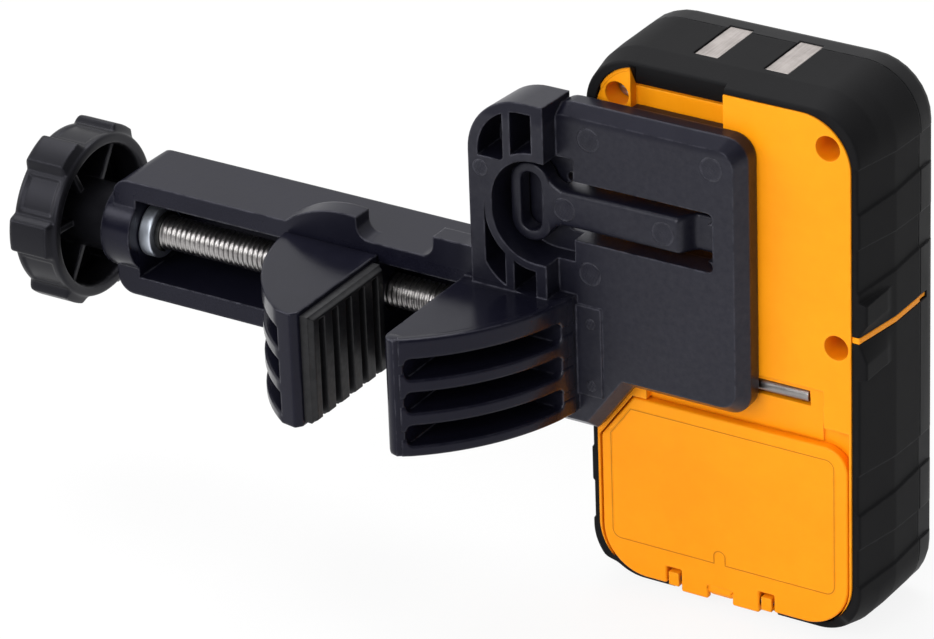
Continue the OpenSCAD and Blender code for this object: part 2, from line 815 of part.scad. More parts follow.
module door_pin() {
    half = lug_w/2 - 0.1;
    color("silver") bar_x(hinge_y, hinge_z, hinge_pin_d/2, lug_xs[0] - half, lug_xs[1] + half);
}

module nine_volt_battery() {
    x0 = -bay_l/2 + battery_gap;
    x1 = x0 + battery_l - stud_l;
    y0 = bay_y0 + battery_gap;
    z0 = compartment_z + battery_gap;
    color("dimgray") {
        along_y(y0, y0 + battery_t) rounded(x0, z0, x1, z0 + battery_w, 2);
        bar_x(y0 + battery_t/2, bay_mid_z + stud_half, big_stud_r, x1 - eps, x1 + stud_l);
        bar_x(y0 + battery_t/2, bay_mid_z - stud_half, small_stud_r, x1 - eps, x1 + stud_l);
    }
}

module battery_snap() {
    x1 = bay_l/2 - fit_gap;
    color("black") box(bay_l/2 - snap_t + 1, bay_y0 + 1, compartment_z + 1, x1, bay_y1 - 1, bay_z1 - 1);
}

module snap_terminals() {
    x0 = -bay_l/2 + 2*battery_gap + battery_l;
    x1 = bay_l/2 - snap_t + 1;
    color("gold") for (s = [-1, 1])
        bar_x(bay_y0 + battery_gap + battery_t/2, bay_mid_z + s*stud_half, terminal_r, x0, x1);
}

module main_board() {
    g = 0.4;
    x1 = case_w/2 - wall - g;
    color("darkgreen") difference() {
        along_y(board_y, board_front) rounded(-x1, board_z0, x1, case_z1 - wall - g, inside_r);
        for (p = screw_places) bar_y(p[0], p[1], post_r + g, board_y - 1, board_front + 1);
    }
}

module sensor_strip() {
    color("midnightblue") box(sensor_x - sensor_w/2 + 1.5, board_front, mark_z - sensor_h/2 + 2,
                              sensor_x + sensor_w/2 - 1.5, front_y - window_t - 0.5, mark_z + sensor_h/2 - 2);
}

module sensor_window() {
    color("darkred") along_y(front_y - window_t - 0.3, front_y - 0.3) sensor_outline();
}

module lcd_module() {
    color("darkseagreen") box(lcd_x - lcd_w/2 + 0.8, board_front, lcd_z - lcd_h/2 + 0.8,
                              lcd_x + lcd_w/2 - 0.8, front_y - window_t - 0.4, lcd_z + lcd_h/2 - 0.8);
}

module lcd_window() {
    color("lightblue") along_y(front_y - window_t - 0.3, front_y - 0.3) lcd_outline();
}

module led_lenses() {
    color("tomato") for (i = [-1, 0, 1])
        bar_y(led_x(), mark_z + i*led_pitch, led_d/2, board_front, front_y + 0.3);
}

module keypad() {
    color("dimgray") along_y(board_front, board_front + keypad_t)
        window_outline(0, button_z, button_pitch + button_w/2, button_h/2, 3);
}

// One push button: a cap through the front wall on a wider foot inside
module push_button(i) {
    foot_y = front_wall_y - 0.3 - button_flange;
    difference() {
        along_y(foot_y, front_y + button_proud) button_outline(i);
        translate([i*button_pitch, front_y + button_proud + button_w*1.6, button_z]) sphere(button_w*1.65);
    }
    along_y(foot_y, foot_y + button_flange) button_outline(i, 0.7);
}

module power_button() { color("orange") push_button(-1); }
module tone_button() { color("dimgray") push_button(0); }
module range_button() { color("dimgray") push_button(1); }

module buzzer() {
    color("black") bar_y(0, buzzer_z(), buzzer_d/2, front_wall_y - buzzer_t, front_wall_y);
}

// Clamp

// Main part of the bracket plate, drawn in by g
module plate_main(g = 0) {
    rounded(frame_right - 2, plate_foot + g, plate_right - g, plate_top - g, plate_corner_r - g/2);
}

// Lower left part of the plate, which slopes down behind the fixed jaw
module plate_tail(g = 0) {
    k = g*(sqrt(1 + pow(tip_slope, 2)) - 1)/tip_slope;
    polygon([[frame_left + 4, tip_z + 3], [tip_x - 8, tip_z + g], [tip_x - k, tip_z + g],
             [slope_x - k, plate_foot + g], [slope_x, plate_top - 14], [frame_left + 4, plate_top - 14]]);
}

// The plate's front edges are chamfered all round
module clamp_plate() {
    edge_y = plate_front + plate_chamfer*1.25;
    hull() {
        along_y(edge_y, plate_back) plate_main($fn = shape_fn);
        along_y(plate_front, edge_y) plate_main(plate_chamfer, $fn = shape_fn);
    }
    hull() {
        along_y(edge_y, plate_back) plate_tail();
        along_y(plate_front, edge_y) plate_tail(plate_chamfer);
    }
}

module plate_cuts() {
    y0 = frame_front - 1;
    y1 = plate_back + 20;
    for (s = [-1, 1]) {
        z = tongue_z + s*(tongue_h + tongue_slot)/2;
        along_y(y0, plate_back + 1)
            rounded(frame_right + 0.3, z - tongue_slot/2, tongue_root, z + tongue_slot/2, tongue_slot/2 - eps);
    }
    // Seat of the tongue, the finger well and the lightening pockets
    half = tongue_h/2 + eps;
    box(frame_right + 0.3, y0, tongue_z - half, tongue_root, plate_back + 1, tongue_z + half);
    along_y(y0, well_floor) intersection() {
        well_outline();
        translate([well_left, 0]) square([frame_right + 4 - well_left, body_h]);
    }
    along_y(y0, well_floor) pocket_outline();
}

// Finger well, grown by g
module well_outline(g = 0) {
    rounded(well_left - g, tongue_z - well_h/2 - g, frame_right + 14, tongue_z + well_h/2 + g, well_r + g);
}

// Lightening pockets of the frame block, whose walls follow its outline and the finger well
module pocket_outline() {
    difference() {
        intersection() {
            rounded(frame_left + 2.3, jaw_top, frame_right + 20, frame_top - 2.3, frame_r - 2.3);
            union() {
                translate([frame_left + 2.3, tongue_z + 10.5]) square([6.2, body_h]);
                translate([frame_left + 10.3, tongue_z]) square([5.1, body_h]);
                translate([frame_left + 3.5, jaw_top]) square([4.8, tongue_z - jaw_top]);
                translate([frame_left + 10.4, jaw_top]) square([5.3, tongue_z - jaw_top]);
            }
        }
        well_outline(1.8);
    }
}

// Outline of the frame block with its round upper left corner, drawn in by g
module frame_outline(g = 0) {
    x0 = frame_left + g;
    z1 = frame_top - 1.6*g;
    intersection() {
        union() {
            translate([x0 + frame_r, jaw_bottom]) square([frame_w, z1 - jaw_bottom]);
            translate([x0, jaw_bottom]) square([frame_w, z1 - frame_r - jaw_bottom]);
            translate([x0 + frame_r, z1 - frame_r]) circle(frame_r);
        }
        translate([x0 - 1, jaw_bottom]) square([frame_right - x0 + 1, frame_top]);
    }
}

// The block narrows and its top falls a little towards the back
module frame_block() {
    hull() {
        along_y(frame_front, frame_front + 0.5) frame_outline($fn = 64);
        along_y(plate_back - 0.5, plate_back) frame_outline(0.3, $fn = 64);
    }
    // The block runs on to the rail's depth beside the receiver
    box(frame_left, plate_back - 1, rail_z, frame_right, rail_rear, rail_top + 6);
}

module rail_outline() {
    rounded(rail_left, rail_z, frame_left + 4, rail_top, rail_end_r);
    translate([frame_left, rail_z]) square([4, rail_h]);
}

module rail() {
    difference() {
        along_y(rail_front, rail_rear) rail_outline();
        // The rail's end slants towards the back
        translate([0, 0, rail_z - 1]) linear_extrude(rail_h + 2)
            polygon([[rail_left - 1, rail_front + 2], [rail_left, rail_front + 2], [rail_left + 2.5, rail_rear + 1],
                     [rail_left - 1, rail_rear + 1]]);
    }
    intersection() {
        bar_x(axis_y, axis_z, end_boss_r, rail_left - end_boss_out, rail_left + end_wall_t);
        box(rail_left - end_boss_out - 1, -body_d*3, rail_z, frame_left, rail_rear, rail_top);
    }
    // Raised lip with an arched stop and a block beside the frame
    arch_x1 = frame_left - arch_from_frame;
    along_y(rail_front, rail_front + lip_d) {
        intersection() {
            polygon(concat(bowed([arch_x1, rail_top + lip_h], [arch_x1 - arch_l, rail_top - 0.2], 2, 12),
                           [[arch_x1 - arch_l, rail_top - 1], [arch_x1, rail_top - 1]]));
            translate([arch_x1 - arch_l - 1, rail_top - 0.5]) square([arch_l + 1, lip_h + 3]);
        }
        hollow_foot(arch_x1, 1);
        hollow_foot(frame_left - lip_block_l, -1);
        translate([frame_left - lip_block_l, rail_top - 0.5]) square([lip_block_l + 1, lip_h + 0.5]);
    }
}

// Hollow rounding at the foot of the lip's ends, towards the right for s = 1
module hollow_foot(x, s) {
    r = lip_h*0.6;
    polygon(concat([[x - s*0.5, rail_top - 0.5], [x + s*r, rail_top - 0.5]],
                   [for (a = [0:15:90]) [x + s*r*(1 - sin(a)), rail_top + r*(1 - cos(a)) + 0.02]],
                   [[x - s*0.5, rail_top + r + 0.02]]));
}

module rail_cuts() {
    box(rail_left + end_wall_t, jaw_tip_y - 1, rail_z + flange_t,
        frame_left - stop_wall_t, rail_rear - web_t, rail_top - flange_t);
    bar_x(axis_y, axis_z, screw_r + run_gap, rail_left - end_boss_out - 1, rail_left + end_wall_t + 1);
    bar_x(axis_y, axis_z, bush_r(), frame_left - stop_wall_t - 1, frame_left + 5);
}

function bush_r() = screw_r - thread_depth + 1.6;

// Levels of a jaw's plates: [foot, top]
function jaw_levels() =
    let (room = jaw_h - top_plate_t - bottom_plate_t - 2*fin_t, slot = room/3)
    [[jaw_top - top_plate_t, jaw_top],
     for (i = [0, 1]) let (z = jaw_top - top_plate_t - slot*(i + 1) - fin_t*(i + 1)) [z, z + fin_t],
     [jaw_bottom, jaw_bottom + bottom_plate_t]];

// Plan of the fixed jaw, from its gripping wall to its bowed outer edge
module fixed_jaw_plan(y_root) {
    root = [grip_x + fixed_jaw_w, plate_front + 0.5];
    polygon(concat([[grip_x, y_root], [grip_x, jaw_tip_y + 2.2], [grip_x + 0.9, jaw_tip_y + 0.6]],
                   bowed([grip_x + 2.8, jaw_tip_y], root, fixed_bow), [[root[0], y_root]]));
}

module fixed_jaw() {
    difference() {
        fixed_jaw_solid();
        box(grip_x - 1, jaw_tip_y + 3 - fit_gap, jaw_bottom + 2 - fit_gap,
            grip_x + fixed_pad_in, frame_front - 2 + fit_gap, jaw_top - 2 + fit_gap);
    }
}

module fixed_jaw_solid() {
    for (z = jaw_levels()) translate([0, 0, z[0]]) linear_extrude(z[1] - z[0]) fixed_jaw_plan(plate_front + 1);
    // Raised pad on the plate beside the jaw's root
    box(grip_x + fixed_jaw_w - 1, plate_front - 0.5, jaw_bottom + 4, grip_x + fixed_jaw_w + 5.8, plate_front + 1,
        jaw_top - 2);
    // Gripping wall and root
    intersection() {
        translate([0, 0, jaw_bottom]) linear_extrude(jaw_h) fixed_jaw_plan(plate_front + 1);
        union() {
            box(grip_x - 1, jaw_tip_y - 1, jaw_bottom, grip_x + fixed_wall, plate_front + 1, jaw_top);
            box(grip_x - 1, frame_front, jaw_bottom, grip_x + fixed_jaw_w, plate_front + 1, jaw_top);
        }
    }
}

// Runners on the plate's back that fill the receiver's channel, clear of the latch
module bracket_runners() {
    x0 = step_x - channel_w + slide_gap;
    x1 = step_x - slide_gap;
    y1 = channel_floor_y - slide_gap;
    half = tongue_h/2 + tongue_slot + 1;
    box(x0, plate_back - eps, tongue_z + half, x1, y1, channel_top - 4);
    box(x0, plate_back - eps, channel_bottom + slide_gap, x1, y1, tongue_z - half);
}

module clamp_bracket() {
    color("#2a2b30") {
        difference() {
            union() {
                clamp_plate();
                frame_block();
                rail();
                fixed_jaw();
            }
            plate_cuts();
            rail_cuts();
        }
        bracket_runners();
    }
}

// Latch tongue: a spring bar with a ring to pull it by and a nib behind it
module latch_tongue() {
    g = 0.3;
    ring_right = ring_left + ring_w;
    color("#2a2b30") {
        along_y(tongue_front, tongue_back) {
            translate([ring_right - 1, tongue_z - tongue_h/2])
                square([tongue_root - g - ring_right + 1, tongue_h]);
            difference() {
                rounded(ring_left, tongue_z - ring_h/2, ring_right, tongue_z + ring_h/2, ring_w/2 - eps);
                rounded(ring_left + ring_bar, tongue_z - ring_h/2 + ring_bar, ring_right - ring_bar,
                        tongue_z + ring_h/2 - ring_bar, ring_w/2 - ring_bar - eps);
            }
        }
        // The bar runs on to the plate's depth behind the ring
        box(frame_right + 0.7, tongue_back - eps, tongue_z - tongue_h/2, tongue_root - g, plate_back - 0.2,
            tongue_z + tongue_h/2);
        nib_x = step_x - channel_w + slide_gap;
        half = tongue_h/2 - 1;
        box(nib_x, tongue_back - eps, tongue_z - half, nib_x + 4, left_floor_y + 1, tongue_z + half);
    }
}

// A pad of thickness t with its ribs, on the jaw face at x = 0 and standing out towards +X
module pad_shape(y0, y1, z0, z1, t) {
    base = t*0.6;
    rib_w = (y1 - y0)/(2*pad_ribs + 1);
    box(0, y0, z0, base, y1, z1);
    for (i = [0:pad_ribs - 1]) {
        y = y0 + rib_w*(2*i + 1);
        box(base - eps, y, z0 + 1.5, t, y + rib_w, z1 - 1.5);
    }
}

module fixed_jaw_pad() {
    color("#1c1c1e") translate([grip_x + fixed_pad_in, 0, 0]) mirror([1, 0, 0])
        pad_shape(jaw_tip_y + 3, frame_front - 2, jaw_bottom + 2, jaw_top - 2, fixed_pad_t);
}

module moving_jaw_pad() {
    color("#1c1c1e") translate([moving_grip_x, 0, 0])
        pad_shape(jaw_tip_y + 2, frame_front - 1, jaw_bottom + 1, jaw_top - 1, pad_t);
}

module moving_jaw_plan(y_root) {
    outer = bowed([slider_left, y_root], [moving_grip_x - tip_w, jaw_tip_y + 0.6], moving_bow);
    polygon(concat(outer, [[moving_grip_x - 1.2, jaw_tip_y], [moving_grip_x, jaw_tip_y + 1.5],
                           [moving_grip_x, y_root]]));
}

module moving_jaw() {
    y_root = rail_front - slide_gap;
    z0 = rail_z + flange_t + slide_gap;
    z1 = rail_top - flange_t - slide_gap;
    color("#2a2b30") difference() {
        union() {
            for (z = jaw_levels()) translate([0, 0, z[0]]) linear_extrude(z[1] - z[0]) moving_jaw_plan(y_root);
            intersection() {
                translate([0, 0, jaw_bottom]) linear_extrude(jaw_h) moving_jaw_plan(y_root);
                union() {
                    box(moving_grip_x - grip_wall, jaw_tip_y - 1, jaw_bottom, moving_grip_x, y_root, jaw_top);
                    box(moving_grip_x - tip_w, jaw_tip_y - 1, jaw_bottom,
                        moving_grip_x, jaw_tip_y + 3, jaw_top);
                    box(slider_left - 1, y_root - 4, jaw_bottom, moving_grip_x, y_root, jaw_top);
                }
            }
            // Slider in the rail's channel
            box(slider_left, y_root - eps, z0, moving_grip_x, rail_rear - web_t - slide_gap, z1);
        }
        bar_x(axis_y, axis_z, screw_r + 0.6, slider_left - 1, moving_grip_x + 1);
        nut_space(fit_gap);
    }
}

// Pocket of the square nut, open to the back of the slider
module nut_space(g) {
    x = (slider_left + moving_grip_x)/2;
    box(x - nut_t/2 - g, axis_y - nut_d/2 - g, axis_z - nut_w/2 - g, x + nut_t/2 + g,
        g > 0 ? rail_rear : axis_y + nut_d/2, axis_z + nut_w/2 + g);
}

module jaw_nut() {
    color("silver") difference() {
        nut_space(0);
        bar_x(axis_y, axis_z, screw_r + run_gap, slider_left, moving_grip_x);
    }
}

// Screw: plain journals at both ends and a zig-zag thread between them
module clamp_screw() {
    turns = floor((thread_x1 - thread_x0)/screw_pitch);
    root_r = screw_r - thread_depth;
    thread = [for (i = [0:turns - 1]) each [[root_r, thread_x0 + i*screw_pitch],
                                            [screw_r, thread_x0 + (i + 0.5)*screw_pitch]]];
    x1 = thread_x0 + turns*screw_pitch;
    color("silver") translate([0, axis_y, axis_z]) rotate([0, 90, 0]) rotate_extrude()
        polygon(concat([[0, screw_x0], [screw_r, screw_x0], [screw_r, thread_x0 - 0.2],
                        [root_r, thread_x0 - 0.1]], thread,
                       [[root_r, x1], [root_r, frame_left + 1], [0, frame_left + 1]]));
}

module ring_x(r0, r1, x0, x1) {
    difference() {
        bar_x(axis_y, axis_z, r1, x0, x1);
        bar_x(axis_y, axis_z, r0, x0 - 1, x1 + 1);
    }
}

module thrust_collar() {
    color("gainsboro") ring_x(screw_r + 0.02, collar_d/2, collar_x, collar_x + collar_t);
}

module retaining_clip() {
    x0 = collar_x + collar_t + 0.05;
    color("black") difference() {
        ring_x(screw_r + 0.02, collar_d/2 - 1.6, x0, x0 + clip_t);
        box(x0 - 1, axis_y - 2, axis_z - collar_d, x0 + clip_t + 1, axis_y + 2, axis_z);
    }
}

module end_bush() {
    color("peru") ring_x(screw_r - thread_depth + run_gap, bush_r() - 0.02,
                         frame_left - stop_wall_t, frame_left + 3);
}

module knob_outline() {
    circle(knob_valley_d/2);
    for (i = [0:knob_lobes - 1]) rotate(i*360/knob_lobes + lobe_turn) intersection() {
        circle(knob_d/2);
        translate([knob_valley_d/4, -lobe_w/2]) square([knob_d, lobe_w]);
    }
}

// Hollow star knob, open towards the rail, with a hub and a spoke under each lobe
module knob() {
    inner_r = knob_valley_d/2 - knob_wall;
    color("#202022") translate([0, axis_y, axis_z]) rotate([0, 90, 0]) difference() {
        union() {
            translate([0, 0, knob_far_x]) linear_extrude(knob_t) difference() {
                knob_outline();
                circle(inner_r);
            }
            translate([0, 0, knob_far_x]) cylinder(h = knob_web, r = inner_r + 0.5);
            translate([0, 0, knob_far_x]) cylinder(h = hub_near_x - knob_far_x, d = hub_d);
            for (i = [0:knob_lobes - 1]) rotate(i*360/knob_lobes + lobe_turn)
                translate([hub_d/2 - 1, -0.8, knob_far_x]) cube([inner_r - hub_d/2 + 1.5, 1.6, knob_t - 3]);
        }
        translate([0, 0, screw_x0 - 0.1]) cylinder(h = rail_l, r = screw_r + 0.02);
        translate([0, 0, screw_x0 - 0.1]) cylinder(h = insert_t + fit_gap, d = insert_d + fit_gap, $fn = 6);
    }
}

module knob_insert() {
    color("goldenrod") translate([0, axis_y, axis_z]) rotate([0, 90, 0]) difference() {
        translate([0, 0, screw_x0]) cylinder(h = insert_t - 0.2, d = insert_d - fit_gap, $fn = 6);
        translate([0, 0, screw_x0 - 1]) cylinder(h = insert_t + 2, r = screw_r + 0.02);
    }
}

rear_case();
front_case();
upper_overmould();
lower_overmould();
case_gasket();
level_marks();
magnet_strips();
case_screws();
rail_pin();
battery_door();
door_pin();
nine_volt_battery();
battery_snap();
snap_terminals();
main_board();
sensor_strip();
sensor_window();
lcd_module();
lcd_window();
led_lenses();
keypad();
power_button();
tone_button();
range_button();
buzzer();
clamp_bracket();
fixed_jaw_pad();
latch_tongue();
moving_jaw();
moving_jaw_pad();
jaw_nut();
clamp_screw();
thrust_collar();
retaining_clip();
knob();
knob_insert();
end_bush();
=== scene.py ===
"""Looks of a hand-held laser receiver on its rod clamp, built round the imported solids.

Lengths in this file are in millimetres in the solids' frame, and go into the meshes in metres.
"""
import json
import math

import bpy
import numpy as np
from mathutils import Matrix, Vector


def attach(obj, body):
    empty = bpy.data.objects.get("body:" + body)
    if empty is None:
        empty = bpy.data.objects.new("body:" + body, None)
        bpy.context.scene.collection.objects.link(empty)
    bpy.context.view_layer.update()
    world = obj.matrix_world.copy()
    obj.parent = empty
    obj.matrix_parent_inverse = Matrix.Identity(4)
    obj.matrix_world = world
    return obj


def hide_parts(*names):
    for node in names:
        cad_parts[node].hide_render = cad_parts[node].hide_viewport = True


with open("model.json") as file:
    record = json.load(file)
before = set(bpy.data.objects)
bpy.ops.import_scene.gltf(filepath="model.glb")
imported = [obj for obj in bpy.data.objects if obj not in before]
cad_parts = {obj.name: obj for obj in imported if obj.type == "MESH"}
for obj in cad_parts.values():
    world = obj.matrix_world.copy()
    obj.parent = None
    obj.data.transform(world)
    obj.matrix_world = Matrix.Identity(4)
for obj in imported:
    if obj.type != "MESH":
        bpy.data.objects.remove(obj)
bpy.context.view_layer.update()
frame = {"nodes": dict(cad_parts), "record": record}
MM = 0.001

# Receiver: half width, back face, front edge of the cladding, and the ends of the bracket's channel
BODY_HALF = 34.0
BODY_BACK = -14.7
COVER_FRONT = 8.2
CHANNEL_LEFT = -22.05
CHANNEL_RIGHT = 1.15

# Label field on the door: middle and reach of a frame with rounded corners, and an oval at its foot
LABEL_X, LABEL_Z = -0.4, 27.2
LABEL_REACH_X, LABEL_REACH_Z = 24.8, 13.9
LABEL_ROUND = 2.0
OVAL_X, OVAL_Z = -1.15, 13.05
OVAL_R = 1.35

# Clamp: the screw's axis, the latch ring's middle, and the faces that carry ejector marks
SCREW_Y, SCREW_Z = -18.5, 59.45
LATCH_X, LATCH_Z = -41.2, 90.2
LATCH_FACE = -21.9
PLATE_FACE = -21.3
BLOCK_FACE = -26.3
ROOT_FACE = -21.8


# Node wiring

class Wire:
    """An output socket of a material. Sums and products of wires add Math nodes to its tree."""

    def __init__(self, tree, socket):
        self.tree = tree
        self.socket = socket

    def node(self, kind, settings=None, values=None, out=0):
        """Add a shader node: its settings first, then its sockets' values or links. Gives one output."""
        made = self.tree.nodes.new("ShaderNode" + kind)
        for name, value in (settings or {}).items():
            setattr(made, name, value)
        for name, value in (values or {}).items():
            if isinstance(value, Wire):
                self.tree.links.new(value.socket, made.inputs[name])
            else:
                made.inputs[name].default_value = value
        return Wire(self.tree, made.outputs[out])

    def maths(self, operation, first, second, clamp=False):
        return self.node("Math", {"operation": operation, "use_clamp": clamp}, {0: first, 1: second})

    def __add__(self, other):
        return self.maths("ADD", self, other)

    def __sub__(self, other):
        return self.maths("SUBTRACT", self, other)

    def __rsub__(self, other):
        return self.maths("SUBTRACT", other, self)

    def __mul__(self, other):
        return self.maths("MULTIPLY", self, other)

    def __truediv__(self, other):
        return self.maths("DIVIDE", self, other)

    def __pow__(self, other):
        return self.maths("POWER", self, other)

    __radd__ = __add__
    __rmul__ = __mul__

    def clamped(self):
        """The same value held between 0 and 1."""
        return self.maths("ADD", self, 0.0, clamp=True)

    def over(self, other):
        """The larger of the two values."""
        return self.maths("MAXIMUM", self, other)

    def size(self):
        """The value without its sign."""
        return self.maths("ABSOLUTE", self, 0.0)

    def between(self, low, high):
        """A soft step: 0 below low, 1 above high, smooth between them."""
        settings = {"interpolation_type": "SMOOTHSTEP"}
        return self.node("MapRange", settings, {"Value": self, "From Min": low, "From Max": high})

    def tint(self, dark, light):
        """A colour between dark where this is 0 and light where it is 1."""
        return self.node("Mix", {"data_type": "RGBA"}, {0: self, 6: rgba(dark), 7: rgba(light)}, 2)

    def noise(self, scale, detail, rough=0.5, stretch=(1, 1, 1)):
        """Cloudy noise over the piece, scale features to the metre; stretch scales its axes."""
        place = self.node("Mapping", None, {"Vector": self, "Scale": stretch})
        return self.node("TexNoise", None, {"Vector": place, "Scale": scale, "Detail": detail,
                                            "Roughness": rough})


def rgba(colour):
    return colour if isinstance(colour, Wire) else (*colour, 1.0)


MATERIALS = {}


class Finish:
    """One material: a Principled shader, the piece's own coordinates, and the wires that feed it.
    soft is the normal with edges rounded by rounding millimetres."""

    def __init__(self, name, rounding=0.45, **constants):
        self.material = bpy.data.materials.new(name)
        self.material.use_nodes = True
        self.tree = self.material.node_tree
        self.shader = self.tree.nodes["Principled BSDF"]
        for socket, value in constants.items():
            self.shader.inputs[socket.replace("_", " ")].default_value = value
        self.root = Wire(self.tree, None)
        self.coords = self.root.node("TexCoord", None, None, "Object")
        self.soft = self.root.node("Bevel", {"samples": 6}, {"Radius": rounding * MM})
        MATERIALS[name] = self.material

    def feed(self, socket, wire):
        self.tree.links.new(wire.socket, self.shader.inputs[socket])

    def bump(self, height, distance, strength):
        """Height from 0 to 1 raises the surface by up to distance millimetres."""
        normal = self.root.node("Bump", None, {"Height": height, "Distance": distance * MM,
                                               "Strength": strength, "Normal": self.soft})
        self.feed("Normal", normal)

    def edges(self):
        """1 along the piece's edges and 0 on its faces, from how far its softened normal turns away."""
        flat = self.root.node("NewGeometry", None, None, "Normal")
        across = self.root.node("VectorMath", {"operation": "DOT_PRODUCT"},
                                {0: self.soft, 1: flat}, "Value")
        return (1.0 - across).between(0.01, 0.12)

    def place(self, axes="XYZ"):
        """The piece's own X, Y and Z in millimetres, or those of them that axes names."""
        metres = [self.root.node("SeparateXYZ", None, {"Vector": self.coords}, axis) for axis in axes]
        return [value * (1 / MM) for value in metres]


def moulded(name, dark, light, worn, rough, grain, depth, groove_shade=None, polish=None, **constants):
    """Moulded plastic or rubber: eroded grain of that depth, cloudy gloss and colour, and paler edges that
    are partly rubbed wear and partly painted highlight. An optional mask function darkens its places as
    painted shade, and polish gives the ones that are smoother."""
    f = Finish(name, **constants)
    cloud = f.coords.noise(45, 3)
    patch = f.coords.noise(320, 3, 0.6)
    fine = f.coords.noise(grain, 2, 0.65)
    edge = f.edges() * patch.between(0.35, 0.6)
    shade = (cloud * 0.6 + patch * 0.25 + fine * 0.15).between(0.25, 0.75)
    # Paler edges: partly rubbed wear, partly a painted highlight along them
    colour = (edge * 0.5).tint(shade.tint(dark, light), worn)
    if groove_shade:
        # Painted shade: the colour goes to a deeper tone of the dark colour where the given mask lies
        colour = groove_shade(f).tint(colour, tuple(0.42 * c for c in dark))
    f.feed("Base Color", colour)
    dull = rough - 0.08 + cloud * 0.07 + patch * 0.09 - edge * 0.08
    if polish:
        dull = dull - polish(f) * 0.15
    f.feed("Roughness", dull.clamped())
    f.bump((fine * 0.8 + patch * 0.2) * depth, 1.0, 0.7)
    return f


def label_groove_shade(f):
    """Painted shade in the groove round the door's label field: a rounded frame less its upper left corner
    and less an upright oval at its foot."""
    x, y, z = f.place()
    past_x = ((x - LABEL_X).size() - LABEL_REACH_X).over(0.0)
    past_z = ((z - LABEL_Z).size() - LABEL_REACH_Z).over(0.0)
    oval_x = x - OVAL_X
    oval_z = (z - OVAL_Z).over(0.0)
    frame_edge = (past_x * past_x + past_z * past_z) ** 0.5 - LABEL_ROUND
    cut_edge = (z - x * 1.356 - 73.17) / 1.685
    oval_edge = OVAL_R - (oval_x * oval_x + oval_z * oval_z) ** 0.5
    away = frame_edge.over(cut_edge).over(oval_edge).size()
    line = 1.0 - away.between(0.07, 0.17)
    on_door = (1.0 - y.between(-14.9, -14.7)) * (1.0 - z.between(44.0, 44.5))
    return line * on_door * 0.75


def plate_sheen(f):
    """Spark-eroded faces of the clamp's plate shine more than its jaws and rail, in cloudy patches."""
    x, y, z = f.place()
    plate = x.between(-57.5, -53.0) * y.between(-29.0, -26.5) * (1.0 - z.between(109.8, 111.2) * 0.8)
    f.feed("Coat Weight", plate * (f.coords.noise(700, 3, 0.6) * 0.5 + 0.15))


def jaw_polish(f):
    """1 on the two jaws, which stand out below the clamp's plate and frame block."""
    y, z = f.place("YZ")
    return (1.0 - z.between(71.5, 72.5)) * (1.0 - y.between(-26.0, -23.5))


def pad_sheen(f):
    """Pads of the jaws shine more than the cladding, in cloudy patches."""
    x, = f.place("X")
    pads = 1.0 - x.between(-52.0, -48.0)
    f.feed("Coat Weight", pads * (f.coords.noise(700, 3, 0.6) * 0.5 + 0.25))


def metal(name, dark, light, rough, stretch, scale):
    """Worked metal: fine lines along one way, cloudy stains and brighter rubbed edges."""
    f = Finish(name, Metallic=1.0)
    lines = f.coords.noise(scale, 4, 0.7, stretch)
    cloud = f.coords.noise(260, 4, 0.6)
    edge = f.edges()
    shade = (lines * 0.55 + cloud * 0.45 + edge * 0.25).between(0.25, 0.8)
    f.feed("Base Color", shade.tint(dark, light))
    f.feed("Roughness", (rough - 0.1 + lines * 0.12 + cloud * 0.12 - edge * 0.06).clamped())
    f.bump(lines, 0.012, 0.5)


